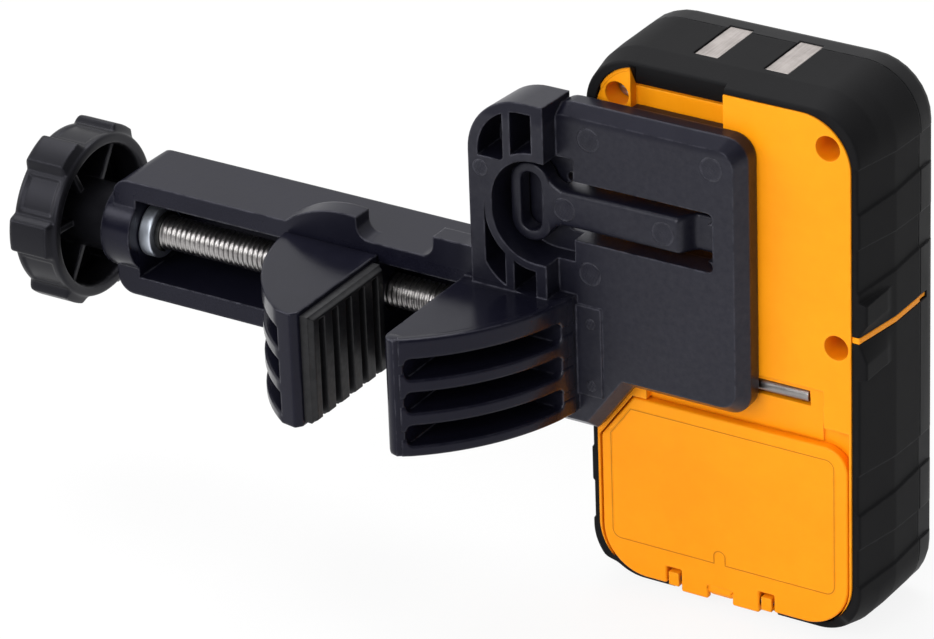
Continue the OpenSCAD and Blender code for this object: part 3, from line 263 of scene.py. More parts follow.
def make_finishes():
    """All the object's finishes, named for the record's material slots."""
    cool_coat = (0.9, 0.9, 1.0, 1.0)
    bluish = {"Specular_IOR_Level": 0.2, "Specular_Tint": (0.84, 0.84, 1.0, 1.0), "rounding": 0.7}
    # The yellow's groove round the door's label field is darkened as painted shade
    moulded("yellow_plastic", (0.9, 0.292, 0.002), (0.96, 0.332, 0.004), (1.0, 0.45, 0.03),
            0.44, 2600, 0.02, groove_shade=label_groove_shade, Specular_IOR_Level=0.15)
    moulded("dark_plastic", (0.007, 0.007, 0.008), (0.011, 0.011, 0.012), (0.03, 0.03, 0.033),
            0.5, 2600, 0.03, Specular_IOR_Level=0.12)
    rubber = moulded("soft_rubber", (0.0055, 0.0055, 0.0063), (0.009, 0.009, 0.0098), (0.02, 0.02, 0.022),
                     0.6, 2200, 0.035, Specular_IOR_Level=0.07, Coat_Roughness=0.35, Coat_Tint=cool_coat)
    pad_sheen(rubber)
    # The clamp's pale edge colour is partly wear and partly a painted highlight along its edges
    clamp = moulded("clamp_plastic", (0.004, 0.004, 0.0085), (0.0065, 0.0065, 0.0125), (0.1, 0.1, 0.12),
                    0.34, 2400, 0.032, polish=jaw_polish, Coat_Roughness=0.4, Coat_Tint=cool_coat, **bluish)
    plate_sheen(clamp)
    moulded("knob_plastic", (0.004, 0.004, 0.005), (0.006, 0.006, 0.0075), (0.07, 0.07, 0.08),
            0.36, 2400, 0.02, **bluish)
    moulded("grey_plastic", (0.085, 0.085, 0.09), (0.115, 0.115, 0.12), (0.2, 0.2, 0.2), 0.5, 2600, 0.03)
    moulded("battery_can", (0.06, 0.068, 0.085), (0.095, 0.1, 0.12), (0.3, 0.3, 0.3), 0.35, 1800, 0.01)
    moulded("board_green", (0.014, 0.11, 0.035), (0.024, 0.16, 0.06), (0.1, 0.25, 0.12), 0.4, 1500, 0.015)
    moulded("sensor_dark", (0.015, 0.015, 0.045), (0.025, 0.025, 0.07), (0.05, 0.05, 0.1),
            0.18, 1200, 0.004)
    moulded("window_red", (0.09, 0.003, 0.003), (0.13, 0.006, 0.006), (0.2, 0.02, 0.02), 0.14, 900, 0.003)
    moulded("lens_red", (0.42, 0.012, 0.012), (0.55, 0.025, 0.02), (0.7, 0.1, 0.1), 0.15, 900, 0.003)
    moulded("lcd_grey", (0.26, 0.3, 0.24), (0.31, 0.35, 0.29), (0.35, 0.38, 0.33), 0.2, 900, 0.003)
    moulded("window_clear", (0.7, 0.76, 0.78), (0.78, 0.83, 0.85), (0.9, 0.9, 0.9), 0.12, 900, 0.003,
            Transmission_Weight=0.85, IOR=1.49)
    metal("magnet_steel", (0.22, 0.2, 0.19), (0.43, 0.395, 0.38), 0.46, (1, 0.03, 1), 2600)
    metal("plain_steel", (0.22, 0.21, 0.21), (0.4, 0.38, 0.37), 0.34, (0.05, 1, 1), 1800)
    metal("bright_steel", (0.3, 0.29, 0.29), (0.56, 0.54, 0.53), 0.3, (0.15, 1, 1), 1600)
    metal("zinc_steel", (0.55, 0.6, 0.68), (0.72, 0.76, 0.84), 0.4, (1, 0.2, 0.2), 1500)
    metal("dark_steel", (0.02, 0.02, 0.02), (0.05, 0.05, 0.05), 0.45, (1, 1, 1), 1500)
    metal("contact_metal", (0.6, 0.43, 0.18), (0.78, 0.58, 0.28), 0.3, (1, 1, 1), 1500)
    metal("bush_brass", (0.5, 0.34, 0.15), (0.66, 0.47, 0.23), 0.34, (0.2, 1, 1), 1500)


# Carried-over solids

def dress_solids():
    """Give each solid its slot's finish, and round its edges with live modifiers: doubles welded, flat
    faces merged, edges sharper than the limit bevelled, and shading weighted by face area."""
    slots = {part["node"]: part["material_slot"] for part in frame["record"]["subparts"]}
    detailed = ("rear_case", "clamp_bracket", "front_case")
    widths = {"rear_case": 0.12, "battery_door": 0.45, "clamp_bracket": 0.15, "moving_jaw": 0.4,
              "front_case": 0.12, "level_marks": 0.2, "magnet_strips": 0.2, "rail_pin": 0.25,
              "thrust_collar": 0.3, "retaining_clip": 0.2, "case_screws": 0.15, "power_button": 0.4,
              "tone_button": 0.4, "range_button": 0.4, "sensor_window": 0.2, "lcd_window": 0.2}
    for name, solid in frame["nodes"].items():
        solid.data.materials.clear()
        solid.data.materials.append(MATERIALS[slots[name]])
        weld = solid.modifiers.new("weld", "WELD")
        weld.merge_threshold = 2e-6
        if name not in detailed:
            flat = solid.modifiers.new("flat", "DECIMATE")
            flat.decimate_type = "DISSOLVE"
            flat.angle_limit = math.radians(0.8)
        if name in widths:
            edge = solid.modifiers.new("edge", "BEVEL")
            edge.width = widths[name] * MM
            edge.segments = 3
            edge.limit_method = "ANGLE"
            edge.angle_limit = math.radians(32)
            edge.use_clamp_overlap = name in detailed
        even = solid.modifiers.new("even", "WEIGHTED_NORMAL")
        even.keep_sharp = False


# Computed surfaces

def add_piece(name, slot, body, rings, replaces=(), loop=False, crease=38):
    """Piece from an array of rings, each a closed row of points: neighbouring rings are joined by quads.
    Looped rings close on the first one; otherwise both end rings close on their middle points."""
    n, m = rings.shape[:2]
    points = rings.reshape(-1, 3)
    i, j = np.meshgrid(np.arange(n if loop else n - 1), np.arange(m), indexing="ij")
    nxt, side = (i + 1) % n, (j + 1) % m
    quads = np.stack([i * m + j, i * m + side, nxt * m + side, nxt * m + j], -1).reshape(-1, 4)
    fans = np.zeros((0, 3), int)
    if not loop:
        points = np.concatenate([points, rings[:1].mean(1), rings[-1:].mean(1)])
        k = np.arange(m)
        first = np.stack([(k + 1) % m, k, np.full(m, n * m)], -1)
        last = np.stack([(n - 1) * m + k, (n - 1) * m + (k + 1) % m, np.full(m, n * m + 1)], -1)
        fans = np.concatenate([first, last])
    three = np.concatenate([quads[:, [0, 1, 2]], quads[:, [0, 2, 3]], fans])
    a, b, c = (points[three[:, k]] for k in range(3))
    if np.einsum("ij,ij->i", a, np.cross(b, c)).sum() < 0:
        quads, fans = quads[:, ::-1], fans[:, ::-1]
    mesh = bpy.data.meshes.new(name)
    mesh.from_pydata((points * MM).tolist(), [], quads.tolist() + fans.tolist())
    mesh.polygons.foreach_set("use_smooth", np.ones(len(mesh.polygons), bool))
    mesh.set_sharp_from_angle(angle=math.radians(crease))
    mesh.materials.append(MATERIALS[slot])
    piece = bpy.data.objects.new(name, mesh)
    bpy.context.scene.collection.objects.link(piece)
    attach(piece, body)
    if replaces:
        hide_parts(*replaces)


def grid(x, y, z):
    """Points of a surface from three arrays that spread over each other's rows and columns."""
    return np.stack(np.broadcast_arrays(x, y, z), -1)


def step(value, low, high):
    """Smooth step of an array: 0 below low, 1 above high."""
    t = np.clip((value - low) / (high - low), 0, 1)
    return t * t * (3 - 2 * t)


def within(value, low, high, soft):
    """1 between low and high, falling to 0 over soft outside them."""
    return step(value, low - soft, low) * (1 - step(value, high, high + soft))


def fallen(depth, r):
    """How far an edge rounded by a quarter circle of radius r falls back at a depth behind its face."""
    return r - np.sqrt(np.maximum(r * r - np.maximum(r - depth, 0) ** 2, 0))


def squared_oval(count, power):
    """Turn round an oval that is pushed out towards its box: cosine and sine, each raised to a power
    below 1 with its sign kept."""
    around = np.linspace(0, 2 * np.pi, count, endpoint=False)
    return [np.sign(c) * np.abs(c) ** power for c in (np.cos(around), np.sin(around))]


def half_outline(hw, z_side, z_end, r, rise, turn, run):
    """Half a rounded frame, from the right side at z_side round the end at z_end to the left side: a
    straight, a quarter turn, a straight across, a quarter turn and a straight. rise, turn and run are the
    sample places from 0 to 1 on each. Gives points and outward directions in X and Z."""
    up = 1.0 if z_end > z_side else -1.0
    cx, cz = hw - r, z_end - up * r
    lift = z_side + (cz - z_side) * rise
    cos, sin = np.cos(turn * np.pi / 2), np.sin(turn * np.pi / 2)
    ones, zeros = np.ones(len(rise)), np.zeros(len(rise))
    x = np.concatenate([hw * ones, cx + r * cos, cx - 2 * cx * run, -cx - r * sin, -hw * ones])
    z = np.concatenate([lift, cz + up * r * sin, np.full(len(run), z_end), cz + up * r * cos, lift[::-1]])
    nx = np.concatenate([ones, cos, np.zeros(len(run)), -sin, -ones])
    nz = np.concatenate([zeros, up * sin, np.full(len(run), up), up * cos, zeros])
    return np.stack([x, z], -1), np.stack([nx, nz], -1)


def rubber_cover(name, node, z_side, z_end):
    """Rubber cladding: a closed section carried round half the body. The outside leans in to the back, is
    let in for the finger grips and flares to a pointer beside the level mark; its back edge steps in for
    the hinge, and over the bracket's channel it slopes in and down as a bridge; the inside follows the
    case."""
    top = z_end > z_side
    rise, turn, run = np.linspace(0, 1, 240), np.linspace(0, 1, 26)[1:-1], np.linspace(0, 1, 300)
    out, way = half_outline(BODY_HALF, z_side, z_end, 12.8, rise, turn, run)
    case_end = z_end - 2.88 if top else z_end + 2.88
    case, _ = half_outline(30.57, z_side, case_end, 11.57, rise, turn, run)
    x, z = out[:, 0], out[:, 1]
    level = np.abs(way[:, 1])[:, None]
    corner = np.degrees(np.arctan2(np.abs(way[:, 1]), np.abs(way[:, 0])))
    if top:
        bridge = within(x, CHANNEL_LEFT, CHANNEL_RIGHT, 0.12)
        y_back = BODY_BACK + 1.5 * (1 - step(x, CHANNEL_RIGHT - 0.05, CHANNEL_RIGHT + 0.05))
        pointer = np.maximum(within(z, 76, 80.6, 0.25), np.clip((z - 73.4) / 2.6, 0, 1) * (z < 76))
        grips = [(83.9, 92.1), (101.7, 110)]
    else:
        bridge = 0 * x
        hinge = within(x, -13.65, 11.25, 0.12) * (np.abs(x) < 21.1)
        y_back = BODY_BACK + 2.1 * step(corner, 38, 58)
        y_back = y_back + (-8.5 - y_back) * hinge
        pointer = np.maximum(within(z, 63.5, 67.4, 0.25), np.clip((71.3 - z) / 3.9, 0, 1) * (z > 67.4))
        grips = [(15.2, 22.6), (32.4, 40)]

    # Outside, from the back edge forward
    flare = (pointer * (corner < 1))[:, None]
    v = np.concatenate([0.02 * np.linspace(0, 1, 9) ** 1.6, np.linspace(0.035, 0.985, 70),
                        [0.99, 0.995, 1.0]])
    y = y_back[:, None] + (COVER_FRONT - y_back)[:, None] * v
    lean = np.clip((-2 - y) / 12.7, 0, 1) * (1 - level) + np.clip((-7.6 - y) / 7.1, 0, 1) * level
    inset = 1.75 * lean * (1 - flare * step(-y, 3, 6))
    flank = 0.05 * (COVER_FRONT - y)
    grip = sum(within(z[:, None], low - flank + 0.5, high + flank - 0.5, 0.5) for low, high in grips)
    inset = inset + 0.43 * grip * (level < 0.01)
    inset = inset + fallen(y - y_back[:, None], 0.5)
    if top:
        magnet = within(np.abs(np.abs(x) - 8.2), -1, 2.8, 0.08)[:, None]
        pocket = magnet * step(y, -5.65, -5.55) * (level > 0.99)
        inset = inset + (2.4 - inset) * pocket
    side = out[:, None, :] - inset[..., None] * way[:, None, :]
    outer = grid(side[..., 0], y, side[..., 1])

    # Inside, from the front back, then the foot and the lip under the bridge
    y_lip = (y_back + (-10.4 - y_back) * bridge)[:, None]
    y_leg = y_lip + 1.0
    inner_y = COVER_FRONT + (y_leg - COVER_FRONT) * np.linspace(0, 1, 24)
    if top:
        spare = 0.65 * step(level, 0.25, 0.75) * (x < CHANNEL_LEFT)[:, None]
    else:
        spare = 0.65 * step(-inner_y, 10.6, 10.9) * step(28.2 - np.abs(x), 0, 1)[:, None] * (level > 0.3)
    inner = grid(case[:, None, 0] + spare * way[:, None, 0], inner_y,
                 case[:, None, 1] + spare * way[:, None, 1])
    bridge = bridge[:, None]
    reach = case[:, None, :] + (spare[:, -1:] - 4.3 * bridge)[..., None] * way[:, None, :]
    reach_x = reach[..., 0] + (x[:, None] - reach[..., 0]) * bridge
    leg = grid(reach_x, y_leg - 0.3 * (1 - bridge), reach[..., 1])
    lip = grid(reach_x, y_lip, reach[..., 1])
    add_piece(name, "soft_rubber", "receiver", np.concatenate([outer, inner, leg, lip], 1), [node])


def corner_post():
    """Top of the yellow post left of the channel: upright sections carried across, each from just inside
    the case's corner arc up to a wider arc, with a chamfered back edge."""
    x = np.linspace(-29.2, -22.08, 48)[:, None]
    over = 110.2 + np.sqrt(11.65 ** 2 - (x + 18.96) ** 2)
    under = np.minimum(109.55 + np.sqrt(11.2 ** 2 - (x + 19) ** 2), over - 0.1)
    back = -12.53
    front = back + 2.5
    y = np.array([back, back, back + 0.12, front, front])
    z = np.concatenate([under, over - 0.09, over, over, under], 1)
    add_piece("corner_post", "yellow_plastic", "receiver", grid(x, y, z))


def label_border():
    """Line round the door's label field: a rounded frame with its upper left corner cut and an arch at its
    foot, along which two fine ridges run with a valley between them."""
    left, right = LABEL_X - LABEL_REACH_X, LABEL_X + LABEL_REACH_X
    low, high = LABEL_Z - LABEL_REACH_Z, LABEL_Z + LABEL_REACH_Z
    bend = np.linspace(0, np.pi / 2, 12)
    turns = [np.stack([cx + LABEL_ROUND * np.cos(bend + quarter * np.pi / 2),
                       cz + LABEL_ROUND * np.sin(bend + quarter * np.pi / 2)], -1)
             for cx, cz, quarter in [(right, high, 0), (left, low, 2), (right, low, 3)]]
    half = np.linspace(np.pi, 0, 24)
    arch = np.stack([OVAL_X + OVAL_R * np.cos(half), OVAL_Z + OVAL_R * np.sin(half)], -1)
    cut = np.array([[-21.7, 43.1], [-22.3, 42.94], [-27.1, 36.43], [-27.2, 35.8]])
    foot = np.array([[OVAL_X - OVAL_R, low - LABEL_ROUND]])
    toe = np.array([[OVAL_X + OVAL_R, low - LABEL_ROUND]])
    path = np.concatenate([turns[0], cut, turns[1], foot, arch, toe, turns[2]])
    way = np.roll(path, -1, 0) - np.roll(path, 1, 0)
    way = way / np.linalg.norm(way, axis=1)[:, None]
    side = np.stack([way[:, 1], -way[:, 0]], -1)
    across = np.array([-0.34, -0.26, -0.18, -0.08, 0.0, 0.08, 0.18, 0.26, 0.34, 0.34, -0.34])
    lift = np.array([0.0, 0.05, 0.055, 0.012, 0.004, 0.012, 0.055, 0.05, 0.0, -0.2, -0.2])
    flat = path[:, None, :] + side[:, None, :] * across[None, :, None]
    rings = grid(flat[..., 0], -15.0 - lift, flat[..., 1])
    add_piece("label_border", "yellow_plastic", "door", rings, loop=True)


def mark_tip(name, side):
    """Front end of a level mark in the bezel: squared oval sections carried forward, the last ones drawn
    in."""
    wide, tall = squared_oval(32, 0.4)
    y = np.linspace(8.0, 11.75, 24)[:, None]
    draw = 1 - 0.4 * step(y, 10.6, 11.75) ** 2
    x = 30.1 + (1.8 + 1.8 * wide) * draw
    z = 72.3 + 0.6 * tall * (0.6 + 0.4 * draw)
    add_piece(name, "yellow_plastic", "receiver", grid(side * x, y, z), crease=60)


def hinge_barrel():
    """Barrel of the door between its hinge blocks: a half round under the pin's axis with straight sides up
    into the door, carried along the axis and narrowed at both ends."""
    pin_y, pin_z = -13.4, 4.6
    around = np.linspace(0, np.pi, 25)
    y = np.concatenate([1.5 * np.cos(around), [-1.5, -1.2, 0.5, 1.5]])
    z = np.concatenate([-1.7 * np.sin(around), [1.0, 1.5, 1.5, 1.0]])
    x = np.concatenate([[-4.3, -4.25], np.linspace(-4.1, 1.7, 24), [1.85, 1.9]])[:, None]
    narrow = 1 - 0.12 * (1 - within(x, -3.4, 1.0, 0.5))
    add_piece("hinge_barrel", "yellow_plastic", "door", grid(x, pin_y + y * narrow, pin_z + z * narrow))


def fixed_jaw_edges():
    """Rounded bars of the fixed jaw: each follows the jaw's bow with a squared oval section that grows on
    fillets into the tip and the root. A rounded post closes the tip."""
    levels = [(66.5, 70.8), (58.8, 61.4), (51.1, 53.7), (43.9, 46.0)]
    deep, tall = squared_oval(36, 0.4)
    start, end, bow = np.array([-53.4, -57.3]), np.array([-30.7, -20.8]), 4.6
    along = (end - start) / 2
    c = np.linalg.norm(along)
    radius = (c * c + bow * bow) / (2 * bow)
    out = np.array([along[1], -along[0]]) / c
    centre = (start + end) / 2 - out * (radius - bow)
    reach = math.asin(c / radius)
    t = np.linspace(-reach, reach, 130)[3:-6, None]
    ray = out * np.cos(t) + along / c * np.sin(t)
    arc = centre + ray * radius
    length = radius * (t - t[0])
    tip_end = np.interp(-51.7, arc[:, 0], length[:, 0])
    root_end = np.interp(BLOCK_FACE, arc[:, 1], length[:, 0])
    fillet = fallen(np.minimum(length - tip_end, root_end - length), 1.6)
    flat = arc[:, None, :] + ray[:, None, :] * (-0.95 + 1.23 * deep)[None, :, None]
    for number, (low, high) in enumerate(levels):
        foot = low - 0.25 - fillet * (number < len(levels) - 1)
        head = high + 0.12 + fillet * (number > 0)
        z = (foot + head) / 2 + (head - foot) / 2 * tall
        rings = grid(flat[..., 0], flat[..., 1], z)
        add_piece(f"jaw_bar_{number + 1}", "clamp_plastic", "receiver", rings, crease=60)

    # Tip: a plan whose corners are cut four times, carried up between rounded ends
    plan = np.array([[-56.3, -54.4], [-56.35, -55.4], [-55.5, -56.9], [-53.4, -57.48], [-52.1, -56.2],
                     [-52.0, -54.4], [-54.0, -53.8]])
    for _ in range(4):
        ahead = np.roll(plan, -1, 0)
        plan = np.stack([0.75 * plan + 0.25 * ahead, 0.25 * plan + 0.75 * ahead], 1).reshape(-1, 2)
    low, high, soft = 43.85, 70.85, 0.9
    rise = np.concatenate([low + soft * np.linspace(0, 1, 7) ** 2, np.linspace(45.2, 69.5, 20),
                           high - soft * np.linspace(1, 0, 7) ** 2])[:, None]
    shrink = 1 - 0.16 * fallen(np.minimum(rise - low, high - rise) / soft, 1.0)
    mid = plan.mean(0)
    flat = mid + (plan - mid) * shrink[..., None]
    add_piece("jaw_tip", "clamp_plastic", "receiver", grid(flat[..., 0], flat[..., 1], rise))


def star_knob():
    """Hollow star knob: one profile from the middle of the closed end over the outside, the open rim and
    the cavity to the hub's bore, turned about the screw. The outside's radius rises at six flat lobes whose
    flanks and near ends slope down, the panels between them are let in, and six ribs stand on the cavity's
    floor."""
    turn = np.linspace(0, 2 * np.pi, 648, endpoint=False)[None, :]
    off = (turn - math.radians(56.5) + np.pi / 6) % (np.pi / 3) - np.pi / 6
    far, near, floor_x, hub_x, bore_x = -165.2, -153.7, -162.6, -148.3, -160.7
    far_r, near_r, wall_r, hub_r, bore_r = 1.2, 0.7, 15.7, 7.5, 4.05

    # Outside
    x = np.concatenate([far + far_r - far_r * np.cos(np.linspace(0, np.pi / 2, 8)),
                        np.linspace(far + 1.5, near - near_r, 44),
                        near - near_r + near_r * np.sin(np.linspace(0.1, np.pi / 2, 7))])[:, None]
    across = np.abs(20 * np.sin(off))
    lobe = (1 - step(across, 3.3, 5.1)) * step(near - x, 0.5, 1.7)
    panel = step(across, 5.9, 6.4) * within(x, far + 2.2, near - 2.0, 0.45)
    dish = np.cos(3 * off) ** 2 * step(across, 4.9, 9)
    radius = 18.45 + 1.8 * lobe - 0.3 * panel - 0.042 * dish
    radius = radius - fallen(x - far, far_r) - fallen(near - x, near_r)
    closed = radius[:1] * np.linspace(0.02, 0.99, 14)[:, None]
    dent = far + 0.35 * within(closed, 9.0, 15.0, 0.6)

    # Rim, cavity, hub and bore
    lip_r = np.array([17.4, 16.9, 16.4, 16.05])[:, None]
    lip_x = near + np.array([0.0, 0.0, -0.05, -0.4])[:, None]
    floor_r = np.linspace(wall_r, hub_r, 22)[:, None]
    rib = 1 - step(np.abs(floor_r * np.sin(off)), 0.65, 0.85)
    floor = floor_x + 5.9 * rib
    rim_x = near - near_r
    wall_x = rim_x + (floor[:1] - rim_x) * np.linspace(0, 1, 14)[1:-1, None]
    hub = floor[-1:] + (hub_x - 0.3 - floor[-1:]) * np.linspace(0, 1, 12)[1:, None]
    end_r = np.array([7.2, 6.0, 4.6, bore_r, bore_r, bore_r, 0.3])[:, None]
    end_x = np.array([hub_x, hub_x, hub_x, hub_x - 0.4, -153, bore_x, bore_x])[:, None]
    profile = [(dent, closed), (x, radius), (lip_x, lip_r), (wall_x, wall_r), (floor, floor_r),
               (hub, hub_r), (end_x, end_r)]
    rings = [grid(along, SCREW_Y + r * np.cos(turn), SCREW_Z + r * np.sin(turn)) for along, r in profile]
    add_piece("star_knob", "knob_plastic", "screw", np.concatenate(rings), ["knob"])


def threaded_screw():
    """Right-hand screw: the radius follows a zig-zag of the place along the axis less the turn, so the
    crest climbs one pitch a turn; it fades into plain journals at both ends."""
    pitch, journal_r, root_r, thread = 1.25, 4.0, 3.3, 0.68
    turn = np.linspace(0, 2 * np.pi, 56, endpoint=False)[None, :]
    x = np.concatenate([np.linspace(-160.55, -136.2, 30), np.linspace(-136.1, -57.4, 800),
                        np.linspace(-57.3, -52.4, 14)])[:, None]
    phase = (x / pitch - turn / (2 * np.pi)) % 1.0
    ridge = np.clip((0.5 - np.abs(phase - 0.5)) * 2.6 - 0.5, 0, 1)
    crest = step(x, -136.1, -135.0) * (1 - step(x, -58.6, -57.6))
    plain = journal_r + (root_r - journal_r) * step(x, -136.3, -135.6)
    radius = plain + thread * ridge * crest
    radius = radius - 0.4 * step(-x, 160.3, 160.55) - 0.3 * step(x, -52.8, -52.4)
    rings = grid(x, SCREW_Y + radius * np.cos(turn), SCREW_Z + radius * np.sin(turn))
    add_piece("threaded_screw", "bright_steel", "screw", rings, ["clamp_screw"], crease=60)


def ribbed_pad(name, body, replaces, base, face, y0, y1, z0, z1):
    """Rubber pad from the plane base to the plane face, as upright sections carried along the jaw: each is
    a rounded box in X and Z whose face falls off at the pad's rim and sinks in five upright grooves, which
    run out at the foot."""
    y = np.concatenate([y0 + 0.9 * np.linspace(0, 1, 8) ** 1.5, np.linspace(y0 + 1.0, y1 - 1.0, 420),
                        y1 - 0.9 * np.linspace(1, 0, 8) ** 1.5])[:, None]
    up = np.concatenate([np.linspace(0, 0.02, 3), np.linspace(0.024, 0.08, 14), np.linspace(0.1, 0.9, 12),
                         np.linspace(0.92, 0.976, 14), np.linspace(0.98, 1, 3)])[None, :]
    z = z0 + (z1 - z0) * up
    rim_y = np.minimum(y - y0, y1 - y)
    rim_z = np.minimum(z - z0, z1 - z)
    margin, grooves = 1.2, 5
    phase = ((y - y0 - margin) / ((y1 - y0 - 2 * margin) / grooves)) % 1.0
    groove = within(np.abs(phase - 0.5), -1, 0.15, 0.09) * step(z1 - z, 1.3, 1.9) * step(rim_y, 1.0, 1.4)
    height = 0.62 + 0.38 * step(np.minimum(rim_y, rim_z), 0, 0.9) - 0.52 * groove
    front = grid(base + (face - base) * height, y, z)
    rear = grid(base, y, z)[:, ::-1]
    add_piece(name, "soft_rubber", body, np.concatenate([front, rear], 1), replaces)


def latch():
    """Latch tongue: a ring carried between two rounded frames, and a bar whose height flares into the ring
    on two fillets; both have squared oval sections. A tapered nib stands behind the bar."""
    wide, deep = squared_oval(40, 0.35)
    back = -17.7
    rise, turn, run = np.linspace(0, 1, 10)[:-1], np.linspace(0, 1, 20), np.array([0.5])
    half, _ = half_outline(4.8, 0.0, 9.0, 4.78, rise, turn, run)
    hole, _ = half_outline(2.4, 0.0, 6.6, 2.38, rise, turn, run)
    outer = np.concatenate([half[:-1], -half[:-1]])
    inner = np.concatenate([hole[:-1], -hole[:-1]])
    mid, reach = (outer + inner) / 2, (outer - inner) / 2
    flat = mid[:, None, :] + reach[:, None, :] * wide[None, :, None]
    y = (LATCH_FACE + back) / 2 + (back - LATCH_FACE) / 2 * deep
    ring = grid(LATCH_X + flat[..., 0], y, LATCH_Z + flat[..., 1])
    add_piece("latch_ring", "clamp_plastic", "latch", ring, ["latch_tongue"], loop=True, crease=60)

    x = np.concatenate([np.linspace(-38.2, -32.8, 60), np.linspace(-32.4, 1.68, 90), [1.74, 1.78]])[:, None]
    half_bar, fillet_r, fillet_x = 4.15, 5.0, -32.74
    arc = half_bar + np.sqrt(np.maximum(4.74 ** 2 - (x - LATCH_X) ** 2, 0))
    fillet = half_bar + fillet_r - np.sqrt(np.maximum(fillet_r ** 2 - (x - fillet_x) ** 2, 0))
    tall = np.where(x < -37.06, arc, np.where(x < fillet_x, fillet, half_bar))
    rear = -17.75 + 2.2 * step(x, -34.2, -33.9)
    face = LATCH_FACE + 4.0 * step(x, -6.4, -3.2)
    bar = grid(x, (rear + face) / 2 + (rear - face) / 2 * deep, LATCH_Z + tall * wide)
    add_piece("latch_bar", "clamp_plastic", "latch", bar, ["latch_tongue"], crease=60)

    y = np.linspace(-16.4, -11.5, 16)[:, None]
    taper = step(y, -15.0, -11.5)
    nib = grid(-19.7 + (2.0 - 0.7 * taper) * wide + 0.6 * taper, y, LATCH_Z + (3.15 - 0.5 * taper) * deep)
    add_piece("latch_nib", "clamp_plastic", "latch", nib, ["latch_tongue"], crease=60)


def moulding_mark(name, body, x, y, z, r):
    """Round mark of an ejector pin on a face towards -Y: a thin ridge round a field of fine ripples."""
    turn = np.linspace(0, 2 * np.pi, 72, endpoint=False)[None, :]
    out = np.concatenate([[1.0, 1.0], np.linspace(0.985, 0.02, 34)])[:, None]
    lift = np.concatenate([[-0.12, 0.0], np.full(34, 0.03)])[:, None]
    across, up = r * out * np.cos(turn), r * out * np.sin(turn)
    ripple = 0.025 * np.sin(7.1 * across + 2.0 * up) * np.sin(6.3 * up - 1.7 * across)
    ridge = 0.035 * within(out, 0.9, 0.95, 0.03)
    lift = lift + (lift > 0) * (ripple * (out < 0.88) + ridge)
    add_piece(name, "clamp_plastic", body, grid(x + across, y - lift, z + up))


def moulding_marks():
    """Ejector marks of the clamp: the body each one rides, its place and its radius."""
    marks = [("receiver", -27.2, PLATE_FACE, 107.1, 2.7), ("receiver", 1.8, PLATE_FACE, 107.1, 2.7),
             ("receiver", -27.5, PLATE_FACE, 76.3, 2.7), ("latch", -33.0, LATCH_FACE, LATCH_Z, 2.7),
             ("latch", -9.4, LATCH_FACE, LATCH_Z, 2.7), ("receiver", -50.4, BLOCK_FACE, 97.9, 1.9),
             ("receiver", -27.4, ROOT_FACE, 64.9, 1.3), ("receiver", -27.6, ROOT_FACE, 50.4, 1.3)]
    for number, mark in enumerate(marks):
        moulding_mark(f"moulding_mark_{number + 1}", *mark)


# Camera, floor and light

def place_camera():
    """Camera of the photo: focal length in pixels, turned by azimuth, elevation and roll, and so far off
    that the anchor point is seen at its pixel."""
    wide, high, sensor = 934, 639, 36
    a, e, r = (math.radians(v) for v in (32.915, 27.217, -2.097))
    focal, distance = 5820.2, 1235.11
    anchor, seen_u, seen_v = np.array([0, -15, -7.2]), 725.451, 641.574
    right = np.array([math.cos(a), math.sin(a), 0])
    up = np.array([-math.sin(a) * math.sin(e), math.cos(a) * math.sin(e), math.cos(e)])
    back = np.array([math.sin(a) * math.cos(e), -math.cos(a) * math.cos(e), math.sin(e)])
    turn = np.array([math.cos(r) * right + math.sin(r) * up, math.cos(r) * up - math.sin(r) * right, back])
    scale = distance / focal
    shift = np.array([(seen_u - wide / 2) * scale, (high / 2 - seen_v) * scale, -distance])
    lens = bpy.data.cameras.new("camera")
    lens.sensor_width = sensor
    lens.lens = focal * sensor / wide
    lens.clip_start = 0.02
    lens.clip_end = 50
    eye = bpy.data.objects.new("camera", lens)
    bpy.context.scene.collection.objects.link(eye)
    matrix = np.eye(4)
    matrix[:3, :3] = turn.T
    matrix[:3, 3] = (anchor - turn.T @ shift) * MM
    eye.matrix_world = Matrix(matrix.tolist())
    bpy.context.scene.camera = eye


def lay_floor():
    """Wide pale floor just under the object, white to the camera but for the object's soft shadow. Its
    corners are in metres."""
    reach, low = 6.0, -0.0004
    corners = [(-reach, -reach, low), (reach, -reach, low), (reach, reach, low), (-reach, reach, low)]
    mesh = bpy.data.meshes.new("floor")
    mesh.from_pydata(corners, [], [(0, 1, 2, 3)])
    floor = bpy.data.objects.new("floor", mesh)
    bpy.context.scene.collection.objects.link(floor)
    material = bpy.data.materials.new("floor_white")
    material.use_nodes = True
    tree = material.node_tree
    tree.nodes.clear()
    root = Wire(tree, None)
    camera, glossy, through = (root.node("LightPath", None, None, f"Is {kind} Ray")
                               for kind in ("Camera", "Glossy", "Transmission"))
    seen = (camera + glossy + through).clamped()
    paper = root.node("BsdfDiffuse", None, {"Color": (0.8, 0.8, 0.8, 1)})
    glow = root.node("Emission", None, {"Color": (1, 1, 1, 1), "Strength": 1.0})
    mixed = root.node("MixShader", None, {0: seen * 0.88, 1: paper, 2: glow})
    end = tree.nodes.new("ShaderNodeOutputMaterial")
    tree.links.new(mixed.socket, end.inputs["Surface"])
    mesh.materials.append(material)


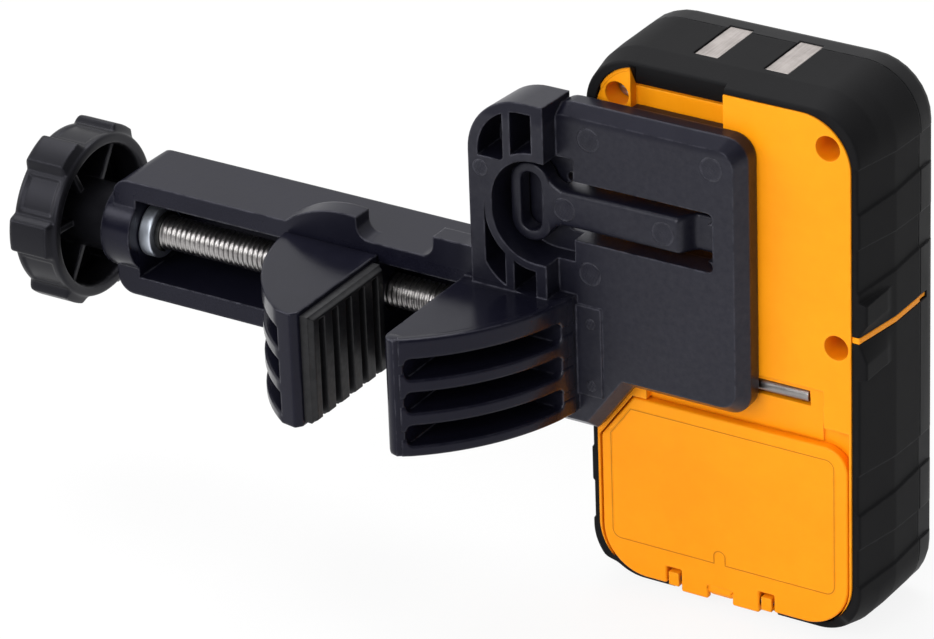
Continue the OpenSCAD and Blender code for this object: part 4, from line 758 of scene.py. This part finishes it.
def area_light(name, place, aim, size, power):
    """Square softbox at place, turned towards aim, both in metres."""
    lamp = bpy.data.lights.new(name, "AREA")
    lamp.shape = "SQUARE"
    lamp.size = size
    lamp.energy = power
    box = bpy.data.objects.new(name, lamp)
    bpy.context.scene.collection.objects.link(box)
    box.location = place
    box.rotation_euler = (Vector(aim) - Vector(place)).to_track_quat("-Z", "Y").to_euler()


def set_light():
    """Plain studio: white surround for what is seen, a grey one for what it lights, brighter towards the
    back in reflections, and three softboxes."""
    scene = bpy.context.scene
    scene.view_settings.view_transform = "Standard"
    world = bpy.data.worlds.new("studio")
    scene.world = world
    world.use_nodes = True
    tree = world.node_tree
    tree.nodes.clear()
    root = Wire(tree, None)
    camera, glossy, through = (root.node("LightPath", None, None, f"Is {kind} Ray")
                               for kind in ("Camera", "Glossy", "Transmission"))
    sky = root.node("TexCoord", None, None, "Generated")
    deep = root.node("VectorMath", {"operation": "DOT_PRODUCT"}, {0: sky, 1: (-0.45, 0.85, 0.2)}, "Value")
    backdrop = deep.between(-0.35, 0.75) * 0.85 + 0.1
    seen = (camera + through).clamped()
    strength = seen + (1.0 - seen) * (glossy * backdrop + (1.0 - glossy) * 0.42)
    glow = root.node("Background", None, {"Color": (1, 1, 1, 1), "Strength": strength})
    end = tree.nodes.new("ShaderNodeOutputWorld")
    tree.links.new(glow.socket, end.inputs["Surface"])
    area_light("top_box", (-0.3, 0.25, 1.0), (-0.05, -0.02, 0.06), 0.8, 8)
    area_light("left_box", (-0.9, -0.55, 0.55), (-0.05, -0.02, 0.06), 0.6, 6)
    area_light("front_box", (0.0, -1.2, 0.75), (-0.03, -0.02, 0.06), 0.8, 11)


make_finishes()
dress_solids()
rubber_cover("upper_cover", "upper_overmould", 73.1, 124.0)
rubber_cover("lower_cover", "lower_overmould", 71.5, 0.0)
corner_post()
label_border()
mark_tip("right_mark_tip", 1)
mark_tip("left_mark_tip", -1)
hinge_barrel()
fixed_jaw_edges()
star_knob()
threaded_screw()
ribbed_pad("grooved_pad", "jaw", ["moving_jaw_pad"], -77.6, -74.6, -55.3, -27.3, 44.9, 69.8)
ribbed_pad("fixed_grooved_pad", "receiver", ["fixed_jaw_pad"], -55.2, -56.8, -54.3, -28.3, 45.9, 68.8)
latch()
moulding_marks()
place_camera()
lay_floor()
set_light()
